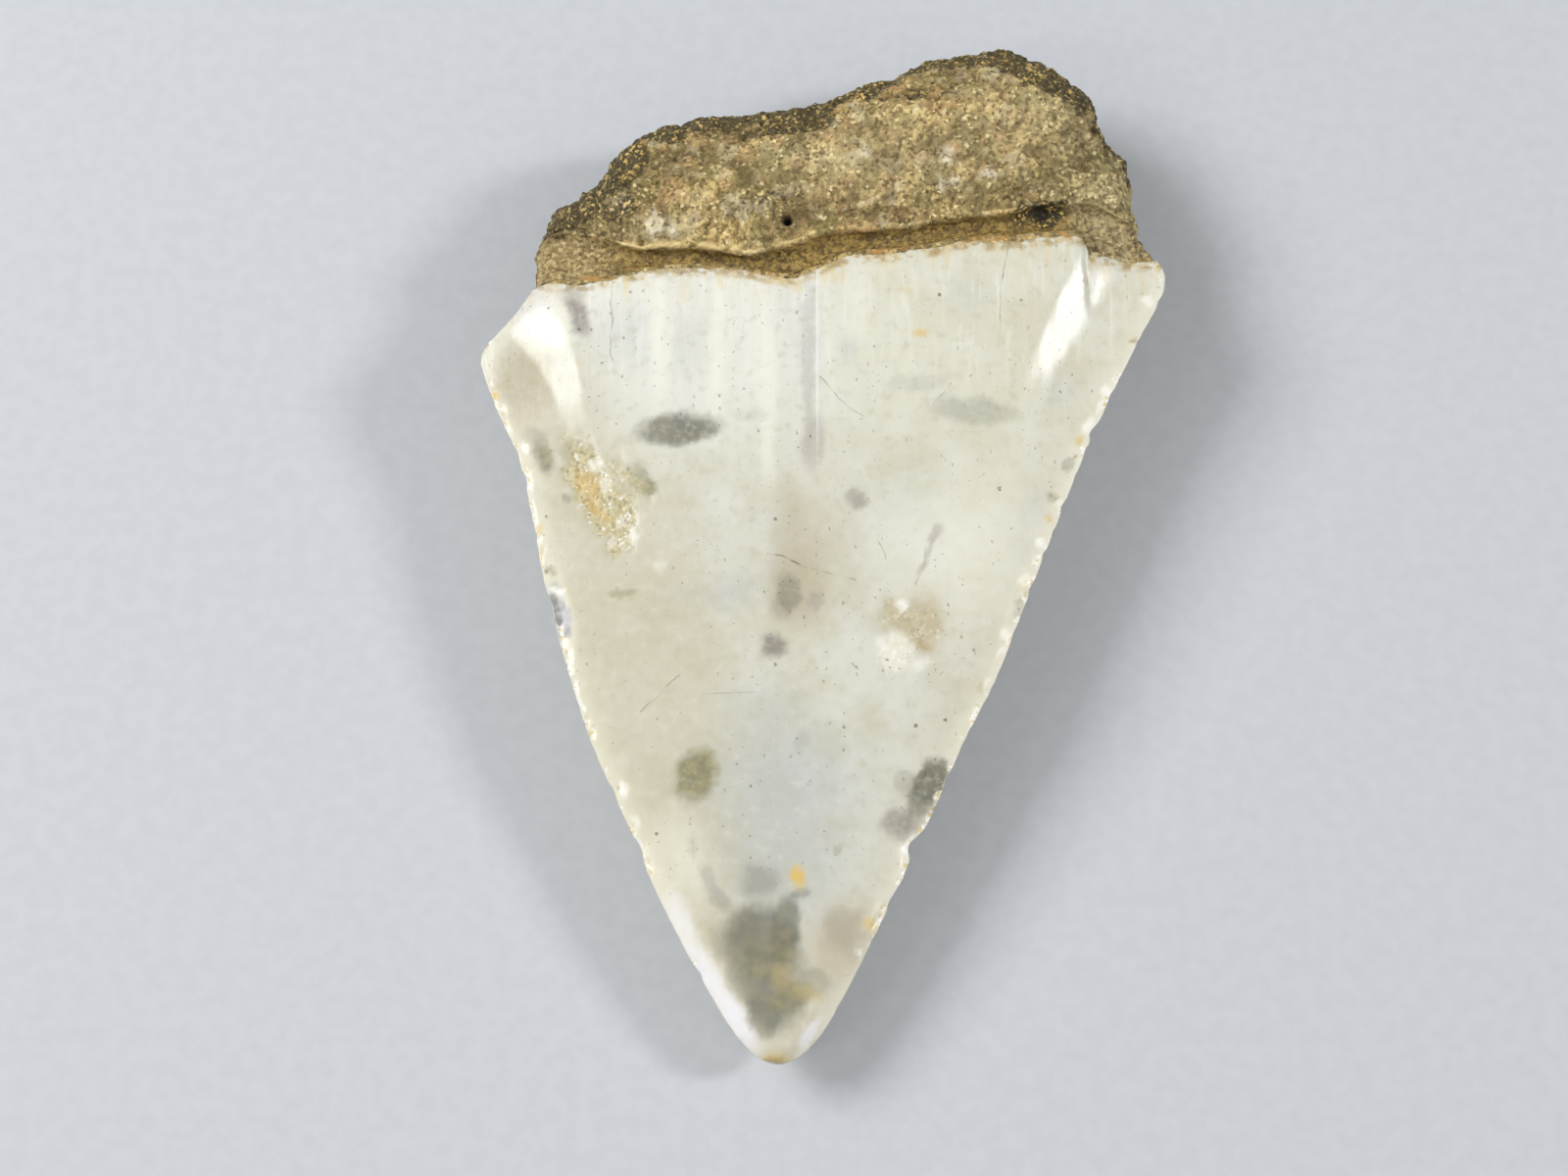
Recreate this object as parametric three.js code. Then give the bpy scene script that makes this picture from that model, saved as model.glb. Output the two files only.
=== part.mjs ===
// Fossil tooth of a broad-toothed mako shark, lying on its lingual (tongue) side with the flatter
// labial (lip) side up. The tooth grew as one piece, so it is one closed solid: an enamelled blade
// with two cutting edges, and a rough, thick root behind it.
//
// Millimetres, +Z up. +X is to the right as seen from above, +Y runs from the tip to the root.
// The origin is on the surface that the tooth rests on, under the centre of its box.
//
// The solid is one closed surface. Two numbers name a place on either of its two faces:
//   row     0 at the tip, 1 where the enamel ends, RIM_ROW at the root's rim, 2 at its far outline
//   across  -1 at the left outline, 0 in the middle, 1 at the right outline
// The labial and the lingual face have their own heights, and their own lines where the enamel
// ends. They meet at the outline: in a cutting edge along the blade, in a round side at the root.
import * as THREE from 'three';
import { ParametricGeometry } from 'three/addons/geometries/ParametricGeometry.js';
import { mergeVertices } from 'three/addons/utils/BufferGeometryUtils.js';

// ---- Driving dimensions: lines in plan, each a list of [x, y] --------------------------------

const LEFT_EDGE = [ // the left cutting edge, from the tip up over the shoulder to the root
  [-2.1, -24.7], [-2.9, -24.5], [-3.7, -23.82], [-4.5, -22.74], [-6.4, -19.5], [-7.75, -16.84],
  [-9.25, -13.41], [-10.55, -10.54], [-11.75, -6.95], [-12.8, -3.28], [-13.5, 0.2], [-14.3, 3.27],
  [-15.3, 5.46], [-15.95, 7.25], [-16.1, 7.94], [-15.85, 8.65], [-15.2, 9.45], [-14.5, 10.35],
  [-13.85, 11.35],
];
const RIGHT_EDGE = [ // the right cutting edge, from the tip to the top of the right shoulder
  [-2.1, -24.7], [-1.3, -24.5], [-0.4, -23.72], [0.35, -22.64], [2, -19.59], [3.5, -16.56],
  [5.1, -13.11], [6.4, -10.24], [7.8, -7.55], [9.2, -4.07], [10.55, -0.7], [12, 2.87], [13.6, 6.36],
  [15.15, 9.45], [16, 11.05], [16.25, 11.95], [16.2, 12.55], [15.9, 13],
];
const LABIAL_ENAMEL = [ // where the enamel ends on the labial face
  [-13.85, 11.35], [-13.0, 11.7], [-11.9, 11.6], [-10.8, 11.7], [-9.3, 12.0], [-7.0, 12.2],
  [-4.5, 12.2], [-2.0, 11.7], [-0.2, 12.1], [1.3, 12.8], [3.9, 13.0], [6.5, 13.5], [9.0, 13.7],
  [12.2, 13.9], [12.7, 13.2], [14.5, 13.05], [15.9, 13.0],
];
const LABIAL_RIM = [ // the lower rim of the root's labial face, above the bare band
  [-13.75, 13.4], [-12.6, 14.2], [-11.3, 14.0], [-10.0, 13.5], [-8.5, 12.95], [-6.0, 12.9],
  [-3.4, 12.6], [-1.5, 13.1], [0.8, 13.7], [4.1, 13.95], [6.0, 14.4], [8.5, 14.7], [11.0, 15.2],
  [13.0, 15.3], [15.1, 14.7],
];
const LINGUAL_ENAMEL = [ // on the lingual face the enamel ends in a chevron
  [-13.85, 11.35], [-12.0, 10.7], [-8.5, 9.2], [-4.5, 7.5], [-1.5, 6.5], [0.6, 6.3], [3.0, 6.9],
  [7.0, 9.1], [11.5, 11.5], [14.5, 12.7], [15.9, 13.0],
];
const LINGUAL_RIM = [ // the lower rim of the root's lingual face, above the smooth neck
  [-13.75, 13.4], [-11.5, 12.6], [-8.2, 11.1], [-4.3, 9.5], [-1.4, 8.6], [0.7, 8.4], [3.2, 9.0],
  [7.2, 10.9], [11.3, 13.0], [13.6, 14.2], [15.1, 14.7],
];
const ROOT_TOP = [ // the root's far outline: a worn left lobe and a tall right lobe
  [-13.2, 15.5], [-12.9, 16.3], [-11.7, 16.9], [-10.4, 17.9], [-9.8, 19.0], [-9.1, 20.0],
  [-8.0, 20.8], [-6.2, 21.2], [-3.0, 21.5], [0.2, 22.1], [2.7, 23.2], [5.4, 24.35], [7.6, 24.85],
  [9.7, 24.85], [12.1, 23.4], [13.3, 22.2], [13.6, 20.4], [14.6, 18.8], [14.9, 17.6],
];

// ---- Driving dimensions: heights, each a list of [row, height] --------------------------------

const RIM_ROW = 1.16;
const EDGE_HEIGHT = [[0, 3.0], [0.3, 4.6], [0.6, 5.7], [1, 6.5], [1.2, 5.8], [1.6, 4.7], [2, 4.5]];
const BLADE_RISE = [[0, 0.45], [0.1, 0.5], [0.2, 0.42], [0.35, 0.35], [0.6, 0.35], [1, 0.5]];
const BLADE_BELLY = [
  [0, 1], [0.03, 1.5], [0.08, 2.3], [0.2, 3.7], [0.35, 4.9], [0.5, 5.4], [0.7, 5.5], [1, 5.4],
];
const ROOT_RISE = [[1, 1.8], [RIM_ROW, 2.3], [1.4, 3.4], [1.7, 4.1], [2, 4.1]];
const ROOT_BELLY = [[1, 5.4], [RIM_ROW, 5.2], [1.32, 5.65], [1.55, 5.45], [1.75, 4.7], [2, 3.4]];

const LABIAL_FLATNESS = [[0, 4], [0.15, 3.5], [0.35, 3], [1, 3.5]]; // bevelled at the tip, then domed
const BELLY_FULLNESS = 0.8;
const TIP_ROWS = 0.035; // the rows over which the faces swell out from the tip
const ROOT_SIDE = { fullness: 0.45, labial: 5, lingual: 3.2, labialFar: 3.2, lingualFar: 2.4 };

// The blade's body stands above the thin wings of its shoulders. A slope joins them, from its head
// at the body to its foot at the wing, which are lists of [y, x].
const BODY_RAISE = [[-4, 0], [2, 0.05], [4.5, 0.18], [6, 0.42], [9, 0.75], [13, 1.05]];
const LEFT_SLOPE = {
  head: [[-4, -8.6], [3, -10.6], [6.5, -11.3], [8.75, -12], [10.2, -12.9], [12.5, -14]],
  foot: [[-4, -11], [3, -12.4], [5.3, -12.4], [7.3, -13.3], [8.9, -14.6], [12.5, -17]],
};
const RIGHT_SLOPE = {
  head: [[-4, 6.2], [3, 8.2], [6.8, 9.2], [9.9, 10.6], [12.8, 12], [14, 12.4]],
  foot: [[-4, 8.6], [3, 10.3], [6.8, 11.1], [9.9, 12.9], [12.7, 14.6], [14, 15.3]],
};

const ENAMEL_STEP = 0.25; // the enamel stands this far above the bare band's head
const BAND_DEPTH = 0.4; // the bare band is a furrow of this depth, between enamel and rim
const NECK_DEPTH = 0.25; // the lingual neck lies this far below the enamel
const STEP_ROWS = { enamel: [0.985, 1.05], rim: [RIM_ROW - 0.05, RIM_ROW + 0.015] };
const ROOT_ROWS = [1, 1.25]; // the root gains its own thickness over these rows

// Folds that run down the labial enamel from the root: place along X, half width and height.
const FOLDS = [
  { x: -7.2, width: 1.0, height: 0.05 }, { x: -3.1, width: 0.8, height: 0.1 },
  { x: -1.3, width: 0.55, height: -0.13 }, { x: 0.5, width: 1.1, height: 0.08 },
  { x: 4.3, width: 1.3, height: 0.05 }, { x: 8.2, width: 0.9, height: -0.04 },
];
const FOLD_LENGTH = 9;

// Chips out of the cutting edges: place along Y, half length and depth.
const LEFT_CHIPS = [
  { y: -15.2, length: 0.8, depth: 0.18 }, { y: -4.1, length: 1.2, depth: 0.12 },
  { y: 1.9, length: 0.8, depth: 0.12 },
];
const RIGHT_CHIPS = [
  { y: -15.1, length: 0.9, depth: 0.4 }, { y: -17.6, length: 0.7, depth: 0.12 },
  { y: 0.65, length: 0.7, depth: 0.12 }, { y: 4.35, length: 0.8, depth: 0.2 },
];

// Broad hollows (and one swelling, of negative depth) in the labial face: the centre, the half
// sizes, the turn in degrees and the depth.
const HOLLOWS = [
  { x: -9.8, y: 1.2, across: 1.2, along: 2.7, turn: 25, depth: 0.28 }, // spalled enamel
  { x: 3.9, y: -4.6, across: 1.3, along: 1.5, turn: -30, depth: 0.16 }, // spalled enamel
  { x: 10.0, y: 15.9, across: 0.9, along: 0.5, turn: 10, depth: 0.5 }, // a pit above the rim
  { x: -12.5, y: 15.6, across: 2.6, along: 3.2, turn: 0, depth: 0.9 }, // the worn left lobe
  { x: 8.0, y: 19.5, across: 5.5, along: 4.0, turn: 0, depth: -0.55 }, // the swollen right lobe
];
const NUTRIENT_GROOVE = { x: 1.4, width: 0.9, depth: 0.6, from: 15.5, to: 22 };

// The worn lumps of the root, as crossed waves: their lengths along X and Y, phase and height.
const LUMPS = [
  { x: 5.3, y: 4.1, phase: 0.6, height: 0.1 }, { x: 3.1, y: -3.7, phase: 2.1, height: 0.09 },
  { x: -2.3, y: 2.9, phase: 4.4, height: 0.06 }, { x: 1.9, y: 1.7, phase: 1.3, height: 0.04 },
];

const ROWS = 58;
const COLUMNS = 41; // on each face
const EDGE_CROWDING = 0.35; // how far the columns crowd towards the outline
const ROW_AT = [ // rows crowd at the tip, at the enamel's end and at the far outline
  [0, 0], [0.04, 0.015], [0.66, 0.985], [0.74, RIM_ROW], [0.93, 1.9], [1, 2],
];
const WELD = 1e-4;

const ENAMEL_COLOUR = new THREE.Color(0xd9d6c6);
const ROOT_COLOUR = new THREE.Color(0x8f7a4e);
const TOOTH_MATERIAL = new THREE.MeshStandardMaterial({
  color: 0xffffff, vertexColors: true, roughness: 0.35, metalness: 0,
});

// ---- Curves ----------------------------------------------------------------------------------

const { clamp, degToRad, lerp, smoothstep } = THREE.MathUtils;

// A smooth function through [place, value] pairs, level beyond its ends.
function through(stations) {
  const last = stations.length - 1;
  const slope = (i) => {
    const [x0, y0] = stations[Math.max(i - 1, 0)];
    const [x1, y1] = stations[Math.min(i + 1, last)];
    return (y1 - y0) / (x1 - x0);
  };
  return (place) => {
    const at = clamp(place, stations[0][0], stations[last][0]);
    let i = 0;
    while (i < last - 1 && stations[i + 1][0] < at) i += 1;
    const [x0, y0] = stations[i];
    const [x1, y1] = stations[i + 1];
    const t = (at - x0) / (x1 - x0);
    const s = 1 - t;
    return s * s * (1 + 2 * t) * y0 + t * t * (1 + 2 * s) * y1
      + (x1 - x0) * t * s * (s * slope(i) - t * slope(i + 1));
  };
}

// A smooth line in plan through points. Its argument is the share of its length, from 0 to 1.
function planLine(points) {
  const lengths = [0];
  for (let i = 1; i < points.length; i += 1) {
    const [x0, y0] = points[i - 1];
    const [x1, y1] = points[i];
    lengths.push(lengths[i - 1] + Math.hypot(x1 - x0, y1 - y0));
  }
  const share = (i) => lengths[i] / lengths[points.length - 1];
  const x = through(points.map((point, i) => [share(i), point[0]]));
  const y = through(points.map((point, i) => [share(i), point[1]]));
  return (along) => new THREE.Vector2(x(along), y(along));
}

const leftEdge = planLine(LEFT_EDGE);
const rightEdge = planLine(RIGHT_EDGE);
const rootTop = planLine(ROOT_TOP);
const labialLines = { enamel: planLine(LABIAL_ENAMEL), rim: planLine(LABIAL_RIM) };
const lingualLines = { enamel: planLine(LINGUAL_ENAMEL), rim: planLine(LINGUAL_RIM) };

const edgeHeight = through(EDGE_HEIGHT);
const bladeRise = through(BLADE_RISE);
const bladeBelly = through(BLADE_BELLY);
const rootRise = through(ROOT_RISE);
const rootBelly = through(ROOT_BELLY);
const labialFlatness = through(LABIAL_FLATNESS);
const bodyRaise = through(BODY_RAISE);
const rowAt = through(ROW_AT);

// ---- The tooth in plan -----------------------------------------------------------------------

const bump = (distance, width) => Math.exp(-((distance / width) ** 2));

function chipDepth(chips, y) {
  return chips.reduce((sum, chip) => sum + chip.depth * bump(y - chip.y, chip.length) ** 2, 0);
}

function planPoint(row, across, lines) {
  const share = (across + 1) / 2;
  if (row > RIM_ROW) return lines.rim(share).lerp(rootTop(share), (row - RIM_ROW) / (2 - RIM_ROW));
  if (row > 1) return lines.enamel(share).lerp(lines.rim(share), (row - 1) / (RIM_ROW - 1));
  const left = leftEdge(row);
  const right = rightEdge(row);
  left.x += chipDepth(LEFT_CHIPS, left.y);
  right.x -= chipDepth(RIGHT_CHIPS, right.y);
  const chord = leftEdge(1).lerp(rightEdge(1), share);
  const bow = lines.enamel(share).sub(chord);
  return left.lerp(right, share).addScaledVector(bow, row ** 3);
}

// ---- Heights ---------------------------------------------------------------------------------

const swell = (row) => Math.sqrt(Math.min(1, row / TIP_ROWS));

// How far beyond the rim a row is, from 0 at the rim to 1 at the far outline.
const beyondRim = (row) => Math.max(0, (row - RIM_ROW) / (2 - RIM_ROW));

// A round side: 1 inside, and 0 where t reaches -1 or 1.
const roundSide = (t, power) => Math.max(0, 1 - Math.abs(t) ** power) ** ROOT_SIDE.fullness;

function hollow({ x, y, across, along, turn, depth }, at) {
  const offset = new THREE.Vector2(at.x - x, at.y - y);
  offset.rotateAround(new THREE.Vector2(), -degToRad(turn));
  return depth * bump(Math.hypot(offset.x / across, offset.y / along), 1);
}

function lumps(at) {
  return LUMPS.reduce(
    (sum, wave) => sum + wave.height * Math.sin(at.x / wave.x + at.y / wave.y + wave.phase)
      * Math.cos(at.y / wave.x - at.x / wave.y),
    0,
  );
}

// How far down a shoulder's slope a place is, from 0 on the body to 1 on the wing.
function downSlope({ head, foot }, at) {
  const headX = through(head)(at.y);
  const footX = through(foot)(at.y);
  return smoothstep((at.x - headX) / (footX - headX), 0, 1);
}

function folds(at) {
  const fade = bump(labialLines.enamel(0.5).y - at.y, FOLD_LENGTH);
  return fade * FOLDS.reduce((sum, fold) => sum + fold.height * bump(at.x - fold.x, fold.width), 0);
}

// How far the blade's labial face stands above its cutting edges, under enamel of that thickness.
function bladeLabial(row, across, at, enamel) {
  const face = 1 - Math.abs(across) ** labialFlatness(row);
  const body = (1 - downSlope(LEFT_SLOPE, at)) * (1 - downSlope(RIGHT_SLOPE, at));
  return face * (swell(row) * bladeRise(row) + folds(at) + enamel)
    + Math.sqrt(face) * body * bodyRaise(at.y);
}

// The root carries on from the blade's foot, sinks into the bare band and rises to its rim.
function rootLabial(row, across, at) {
  const side = roundSide(across, ROOT_SIDE.labial) * roundSide(beyondRim(row), ROOT_SIDE.labialFar);
  const rise = side * (rootRise(row) + lumps(at));
  const band = smoothstep(row, 1, 1.1) * (1 - smoothstep(row, ...STEP_ROWS.rim));
  return lerp(bladeLabial(1, across, at, 0), rise, smoothstep(row, ...ROOT_ROWS))
    - side * band * BAND_DEPTH;
}

function labialHeight(row, across, at) {
  const root = smoothstep(row, ...STEP_ROWS.enamel);
  const inside = 1 - Math.max(Math.abs(across), beyondRim(row)) ** 6;
  const hollows = HOLLOWS.reduce((sum, each) => sum + hollow(each, at), 0);
  const blade = bladeLabial(row, across, at, ENAMEL_STEP * smoothstep(row, 0, 1));
  return edgeHeight(row) + lerp(blade, rootLabial(row, across, at), root) - inside * hollows;
}

function nutrientGroove(at) {
  const { x, width, depth, from, to } = NUTRIENT_GROOVE;
  return depth * bump(at.x - x, width) * smoothstep(at.y, from, to);
}

function lingualHeight(row, across, at) {
  const blade = swell(row) * bladeBelly(row) * (1 - across * across) ** BELLY_FULLNESS;
  const side = roundSide(across, ROOT_SIDE.lingual) * roundSide(beyondRim(row), ROOT_SIDE.lingualFar);
  const root = side * (rootBelly(row) + lumps(at) - nutrientGroove(at));
  const neck = smoothstep(row, ...STEP_ROWS.enamel) - smoothstep(row, ...STEP_ROWS.rim);
  const depth = lerp(blade, root, smoothstep(row, 0.9, 1.1)) - side * neck * NECK_DEPTH;
  return Math.max(0, edgeHeight(row) - depth); // worn flat where the tooth rests
}

// ---- The solid -------------------------------------------------------------------------------

// Around each ring: the labial face from left to right, then the lingual face back again.
function toothSurface(around, along, target) {
  const row = rowAt(along);
  const labial = around <= 0.5;
  const even = labial ? 4 * around - 1 : 3 - 4 * around;
  const across = lerp(even, Math.sin(even * Math.PI / 2), EDGE_CROWDING);
  const at = planPoint(row, across, labial ? labialLines : lingualLines);
  const onOutline = Math.abs(even) === 1 || along === 1 || along === 0;
  const faceHeight = labial ? labialHeight : lingualHeight;
  target.set(at.x, at.y, onOutline ? edgeHeight(row) : faceHeight(row, across, at));
}

// The welded surface, without the rings' collapsed triangles at the tip and the far outline.
function closedSurface() {
  const rings = new ParametricGeometry(toothSurface, 2 * COLUMNS, ROWS);
  rings.deleteAttribute('normal');
  rings.deleteAttribute('uv');
  const geometry = mergeVertices(rings, WELD);
  const corners = geometry.index.array;
  const kept = [];
  for (let i = 0; i < corners.length; i += 3) {
    const [a, b, c] = corners.slice(i, i + 3);
    if (a !== b && b !== c && c !== a) kept.push(a, b, c);
  }
  geometry.setIndex(kept);
  return geometry;
}

function paint(geometry) {
  const positions = geometry.getAttribute('position');
  const colours = [];
  const [firstX] = LABIAL_ENAMEL[0];
  const [lastX] = LABIAL_ENAMEL[LABIAL_ENAMEL.length - 1];
  for (let i = 0; i < positions.count; i += 1) {
    const lines = positions.getZ(i) > edgeHeight(1) ? labialLines : lingualLines;
    const share = clamp((positions.getX(i) - firstX) / (lastX - firstX), 0, 1);
    const colour = positions.getY(i) > lines.enamel(share).y ? ROOT_COLOUR : ENAMEL_COLOUR;
    colours.push(colour.r, colour.g, colour.b);
  }
  geometry.setAttribute('color', new THREE.Float32BufferAttribute(colours, 3));
}

function makeTooth() {
  const geometry = closedSurface();
  paint(geometry);
  geometry.computeBoundingBox();
  const middle = geometry.boundingBox.getCenter(new THREE.Vector3());
  geometry.translate(-middle.x, -middle.y, 0);
  geometry.computeVertexNormals();
  const mesh = new THREE.Mesh(geometry, TOOTH_MATERIAL);
  mesh.name = 'tooth';
  return mesh;
}

const fossil = new THREE.Group();
fossil.add(makeTooth());

export default fossil;
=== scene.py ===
"""A fossil tooth of a broad-toothed mako shark, lying on its lingual (tongue) side.

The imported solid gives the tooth's box. Both pieces below are fine meshes of the same form: the
enamel of the blade, and the root that carries it. Sizes are in millimetres on the tooth, with X
across it, Y from the tip to the root and Z up. MM turns them into metres.
"""
import math

import bpy
import numpy as np
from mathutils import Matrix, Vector, noise


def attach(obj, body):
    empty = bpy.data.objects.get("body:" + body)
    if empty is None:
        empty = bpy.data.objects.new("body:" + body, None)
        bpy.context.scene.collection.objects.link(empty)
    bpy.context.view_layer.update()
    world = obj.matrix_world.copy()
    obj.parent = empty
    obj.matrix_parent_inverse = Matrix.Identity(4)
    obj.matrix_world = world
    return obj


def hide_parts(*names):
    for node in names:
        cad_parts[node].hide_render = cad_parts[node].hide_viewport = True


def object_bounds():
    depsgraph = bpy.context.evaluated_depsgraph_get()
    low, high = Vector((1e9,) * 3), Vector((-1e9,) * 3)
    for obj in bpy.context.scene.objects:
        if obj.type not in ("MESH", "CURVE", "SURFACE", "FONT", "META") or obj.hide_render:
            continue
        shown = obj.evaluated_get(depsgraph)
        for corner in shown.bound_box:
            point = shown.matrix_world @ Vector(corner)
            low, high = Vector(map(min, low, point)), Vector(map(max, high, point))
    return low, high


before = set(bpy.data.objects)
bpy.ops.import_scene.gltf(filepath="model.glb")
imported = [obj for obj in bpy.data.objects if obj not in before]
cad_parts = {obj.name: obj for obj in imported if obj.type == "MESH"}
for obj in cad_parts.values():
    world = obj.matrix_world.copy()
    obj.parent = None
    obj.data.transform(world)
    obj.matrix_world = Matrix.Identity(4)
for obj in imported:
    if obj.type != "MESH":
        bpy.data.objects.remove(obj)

# ---- The enamelled blade ----------------------------------------------------------------------
# A glossy cap of enamel that grew over the blade and ends in a sharp step at the root. Its two
# faces meet in chipped cutting edges. Minerals from the sediment have stained it in cream, grey
# and olive, and it has cracked, spalled and crumbled in places.

cad_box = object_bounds()
MM = 0.001

# Places are drawn about a point near the middle of the tooth. This is where its box's middle lies.
PLAN_MIDDLE = np.array([0.086, 0.13, 0])

# Seen from above, the cutting edges run from the tip to the shoulders, and the enamel's end runs
# between the shoulders on each face: (X, Y).
LEFT_EDGE = [
    (-2.1, -24.7), (-2.9, -24.5), (-3.7, -23.82), (-4.5, -22.74), (-6.4, -19.5), (-7.75, -16.84),
    (-9.25, -13.41), (-10.55, -10.54), (-11.75, -6.95), (-12.8, -3.28), (-13.5, 0.2), (-14.3, 3.27),
    (-15.3, 5.46), (-15.95, 7.25), (-16.1, 7.94), (-15.85, 8.65), (-15.2, 9.45), (-14.5, 10.35),
    (-13.85, 11.35),
]
RIGHT_EDGE = [
    (-2.1, -24.7), (-1.3, -24.5), (-0.4, -23.72), (0.35, -22.64), (2, -19.59), (3.5, -16.56),
    (5.1, -13.11), (6.4, -10.24), (7.8, -7.55), (9.2, -4.07), (10.55, -0.7), (12, 2.87),
    (13.6, 6.36), (15.15, 9.45), (16, 11.05), (16.25, 11.95), (16.2, 12.55), (15.9, 13),
]
LABIAL_ENAMEL = [
    (-13.85, 11.35), (-13.0, 11.7), (-11.9, 11.6), (-10.8, 11.7), (-9.3, 12.0), (-7.0, 12.2),
    (-4.5, 12.2), (-2.0, 11.7), (-0.2, 12.1), (1.3, 12.8), (3.9, 13.0), (6.5, 13.5), (9.0, 13.7),
    (12.15, 13.95), (12.4, 13.25), (13.0, 13.25), (14.5, 13.05), (15.9, 13.0),
]
LINGUAL_ENAMEL = [
    (-13.85, 11.35), (-12.0, 10.7), (-8.5, 9.2), (-4.5, 7.5), (-1.5, 6.5), (0.6, 6.3), (3.0, 6.9),
    (7.0, 9.1), (11.5, 11.5), (14.5, 12.7), (15.9, 13.0),
]


def through(stations, place):
    """The smooth curve through (place, value) stations, at an array of places."""
    x, y = np.array(stations, float).T
    last = len(x) - 1
    ahead = np.minimum(np.arange(len(x)) + 1, last)
    behind = np.maximum(np.arange(len(x)) - 1, 0)
    slope = (y[ahead] - y[behind]) / (x[ahead] - x[behind])
    at = np.clip(place, x[0], x[-1])
    i = np.clip(np.searchsorted(x, at) - 1, 0, last - 1)
    span = x[i + 1] - x[i]
    t = (at - x[i]) / span
    s = 1 - t
    return (s * s * (1 + 2 * t) * y[i] + t * t * (1 + 2 * s) * y[i + 1]
            + span * t * s * (s * slope[i] - t * slope[i + 1]))


def along(points, share):
    """Places on the smooth line through points, at shares of its length."""
    x, y = np.array(points, float).T
    length = np.concatenate([[0], np.cumsum(np.hypot(np.diff(x), np.diff(y)))])
    length /= length[-1]
    return np.stack([through(np.stack([length, value], 1), share) for value in (x, y)], -1)


def ramp(value, low, high):
    """0 up to low, 1 from high on, and smooth between."""
    t = np.clip((value - low) / (high - low), 0, 1)
    return t * t * (3 - 2 * t)


def bump(distance, width):
    """1 at no distance, falling smoothly to about 0 at twice the width."""
    return np.exp(-(distance / width) ** 2)


def lerp(a, b, t):
    """The value that is a share t of the way from a to b."""
    return a + (b - a) * t


def wander(points, size, seed):
    """Smooth noise from about -1 to 1, with features of about that size."""
    shift = np.array([17.3, 5.9, 11.1]) * seed
    places = points.reshape(-1, 3) / size + shift
    return np.array([noise.noise(Vector(at)) for at in places]).reshape(points.shape[:-1])


def speckle(points, size, seed):
    """How far each point is from its nearest grain, 0 at its centre, with grains of that size."""
    shift = np.array([3.1, 8.7, 1.9]) * seed
    places = points.reshape(-1, 3) / size + shift
    return np.array([noise.voronoi(Vector(at))[0][0] for at in places]).reshape(points.shape[:-1])


# A row is 0 at the tip, 1 at the enamel's end and 2 at the root's outline. By row: how high the
# outline stands over the floor, how far each face of the blade swells from it, and how flat the
# labial face is across. The tip is rounded over the first rows.
EDGE_HEIGHT = [(0, 3.0), (0.3, 4.6), (0.6, 5.7), (1, 6.5), (1.2, 5.8), (1.6, 4.7), (2, 4.5)]
BLADE_RISE = [(0, 0.45), (0.1, 0.5), (0.2, 0.42), (0.35, 0.35), (0.6, 0.35), (1, 0.5)]
BLADE_BELLY = [
    (0, 1), (0.03, 1.5), (0.08, 2.3), (0.2, 3.7), (0.35, 4.9), (0.5, 5.4), (0.7, 5.5), (1, 5.4),
]
LABIAL_FLATNESS = [(0, 4), (0.15, 3.5), (0.35, 3), (1, 3.5)]
BELLY_FULLNESS = 0.8
TIP_ROWS = 0.035
ENAMEL_THICKNESS = 0.25

# The blade's thick body stands over the thin wings of its shoulders. By Y: how far it stands up,
# and where the slope on each side of it begins and ends in X.
BODY_RAISE = [(-4, 0), (2, 0.05), (4.5, 0.18), (6, 0.42), (9, 0.75), (13, 1.05)]
LEFT_SLOPE = {
    "head": [(-4, -8.6), (3, -10.6), (6.5, -11.3), (8.75, -12), (10.2, -12.9), (12.5, -14)],
    "foot": [(-4, -11), (3, -12.4), (5.3, -12.4), (7.3, -13.3), (8.9, -14.6), (12.5, -17)],
    "softness": 0.35,
}
RIGHT_SLOPE = {
    "head": [(-4, 6.2), (3, 8.2), (6.8, 9.2), (9.9, 10.6), (12.8, 12), (14, 12.4)],
    "foot": [(-4, 8.6), (3, 10.3), (6.8, 11.1), (9.9, 12.9), (12.7, 14.6), (14, 15.3)],
    "softness": 0.5,
}

# Folds run down the labial face from the root: (place along X, half width, height).
FOLDS = [
    (-7.2, 1.0, 0.05), (-3.1, 0.8, 0.1), (-1.3, 0.55, -0.13), (0.5, 1.1, 0.08), (4.3, 1.3, 0.05),
    (8.2, 0.9, -0.04),
]
FOLDS_START = 12.8
FOLDS_LENGTH = 9

# Chips out of the cutting edges: (place along Y, half length, depth in plan). Fine nibbling runs
# between them. Both fade out over a short way into the face.
NIBBLE_SIZE = 0.4
NIBBLE_DEPTH = 0.06
CHIP_REACH = 0.7
CHIP_REACH_AS_SHARE = 0.2
LEFT_CHIPS = [
    (-20.8, 0.35, 0.1), (-15.2, 0.7, 0.18), (-12.6, 0.35, 0.08), (-4.1, 1.1, 0.12), (-0.7, 0.3, 0.06),
    (2, 0.6, 0.12), (3.3, 0.4, 0.08),
]
RIGHT_CHIPS = [
    (-19.3, 0.3, 0.06), (-17.6, 0.6, 0.12), (-15.1, 0.75, 0.4), (-12, 0.3, 0.08), (-5.4, 0.3, 0.06),
    (-3.2, 0.35, 0.1), (-1.6, 0.3, 0.1), (-0.5, 0.22, 0.06), (0.7, 0.3, 0.12), (3.5, 0.3, 0.07),
    (4.4, 0.5, 0.2), (6.2, 0.35, 0.08), (8.9, 0.18, 0.05), (10.9, 0.3, 0.06),
]


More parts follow.
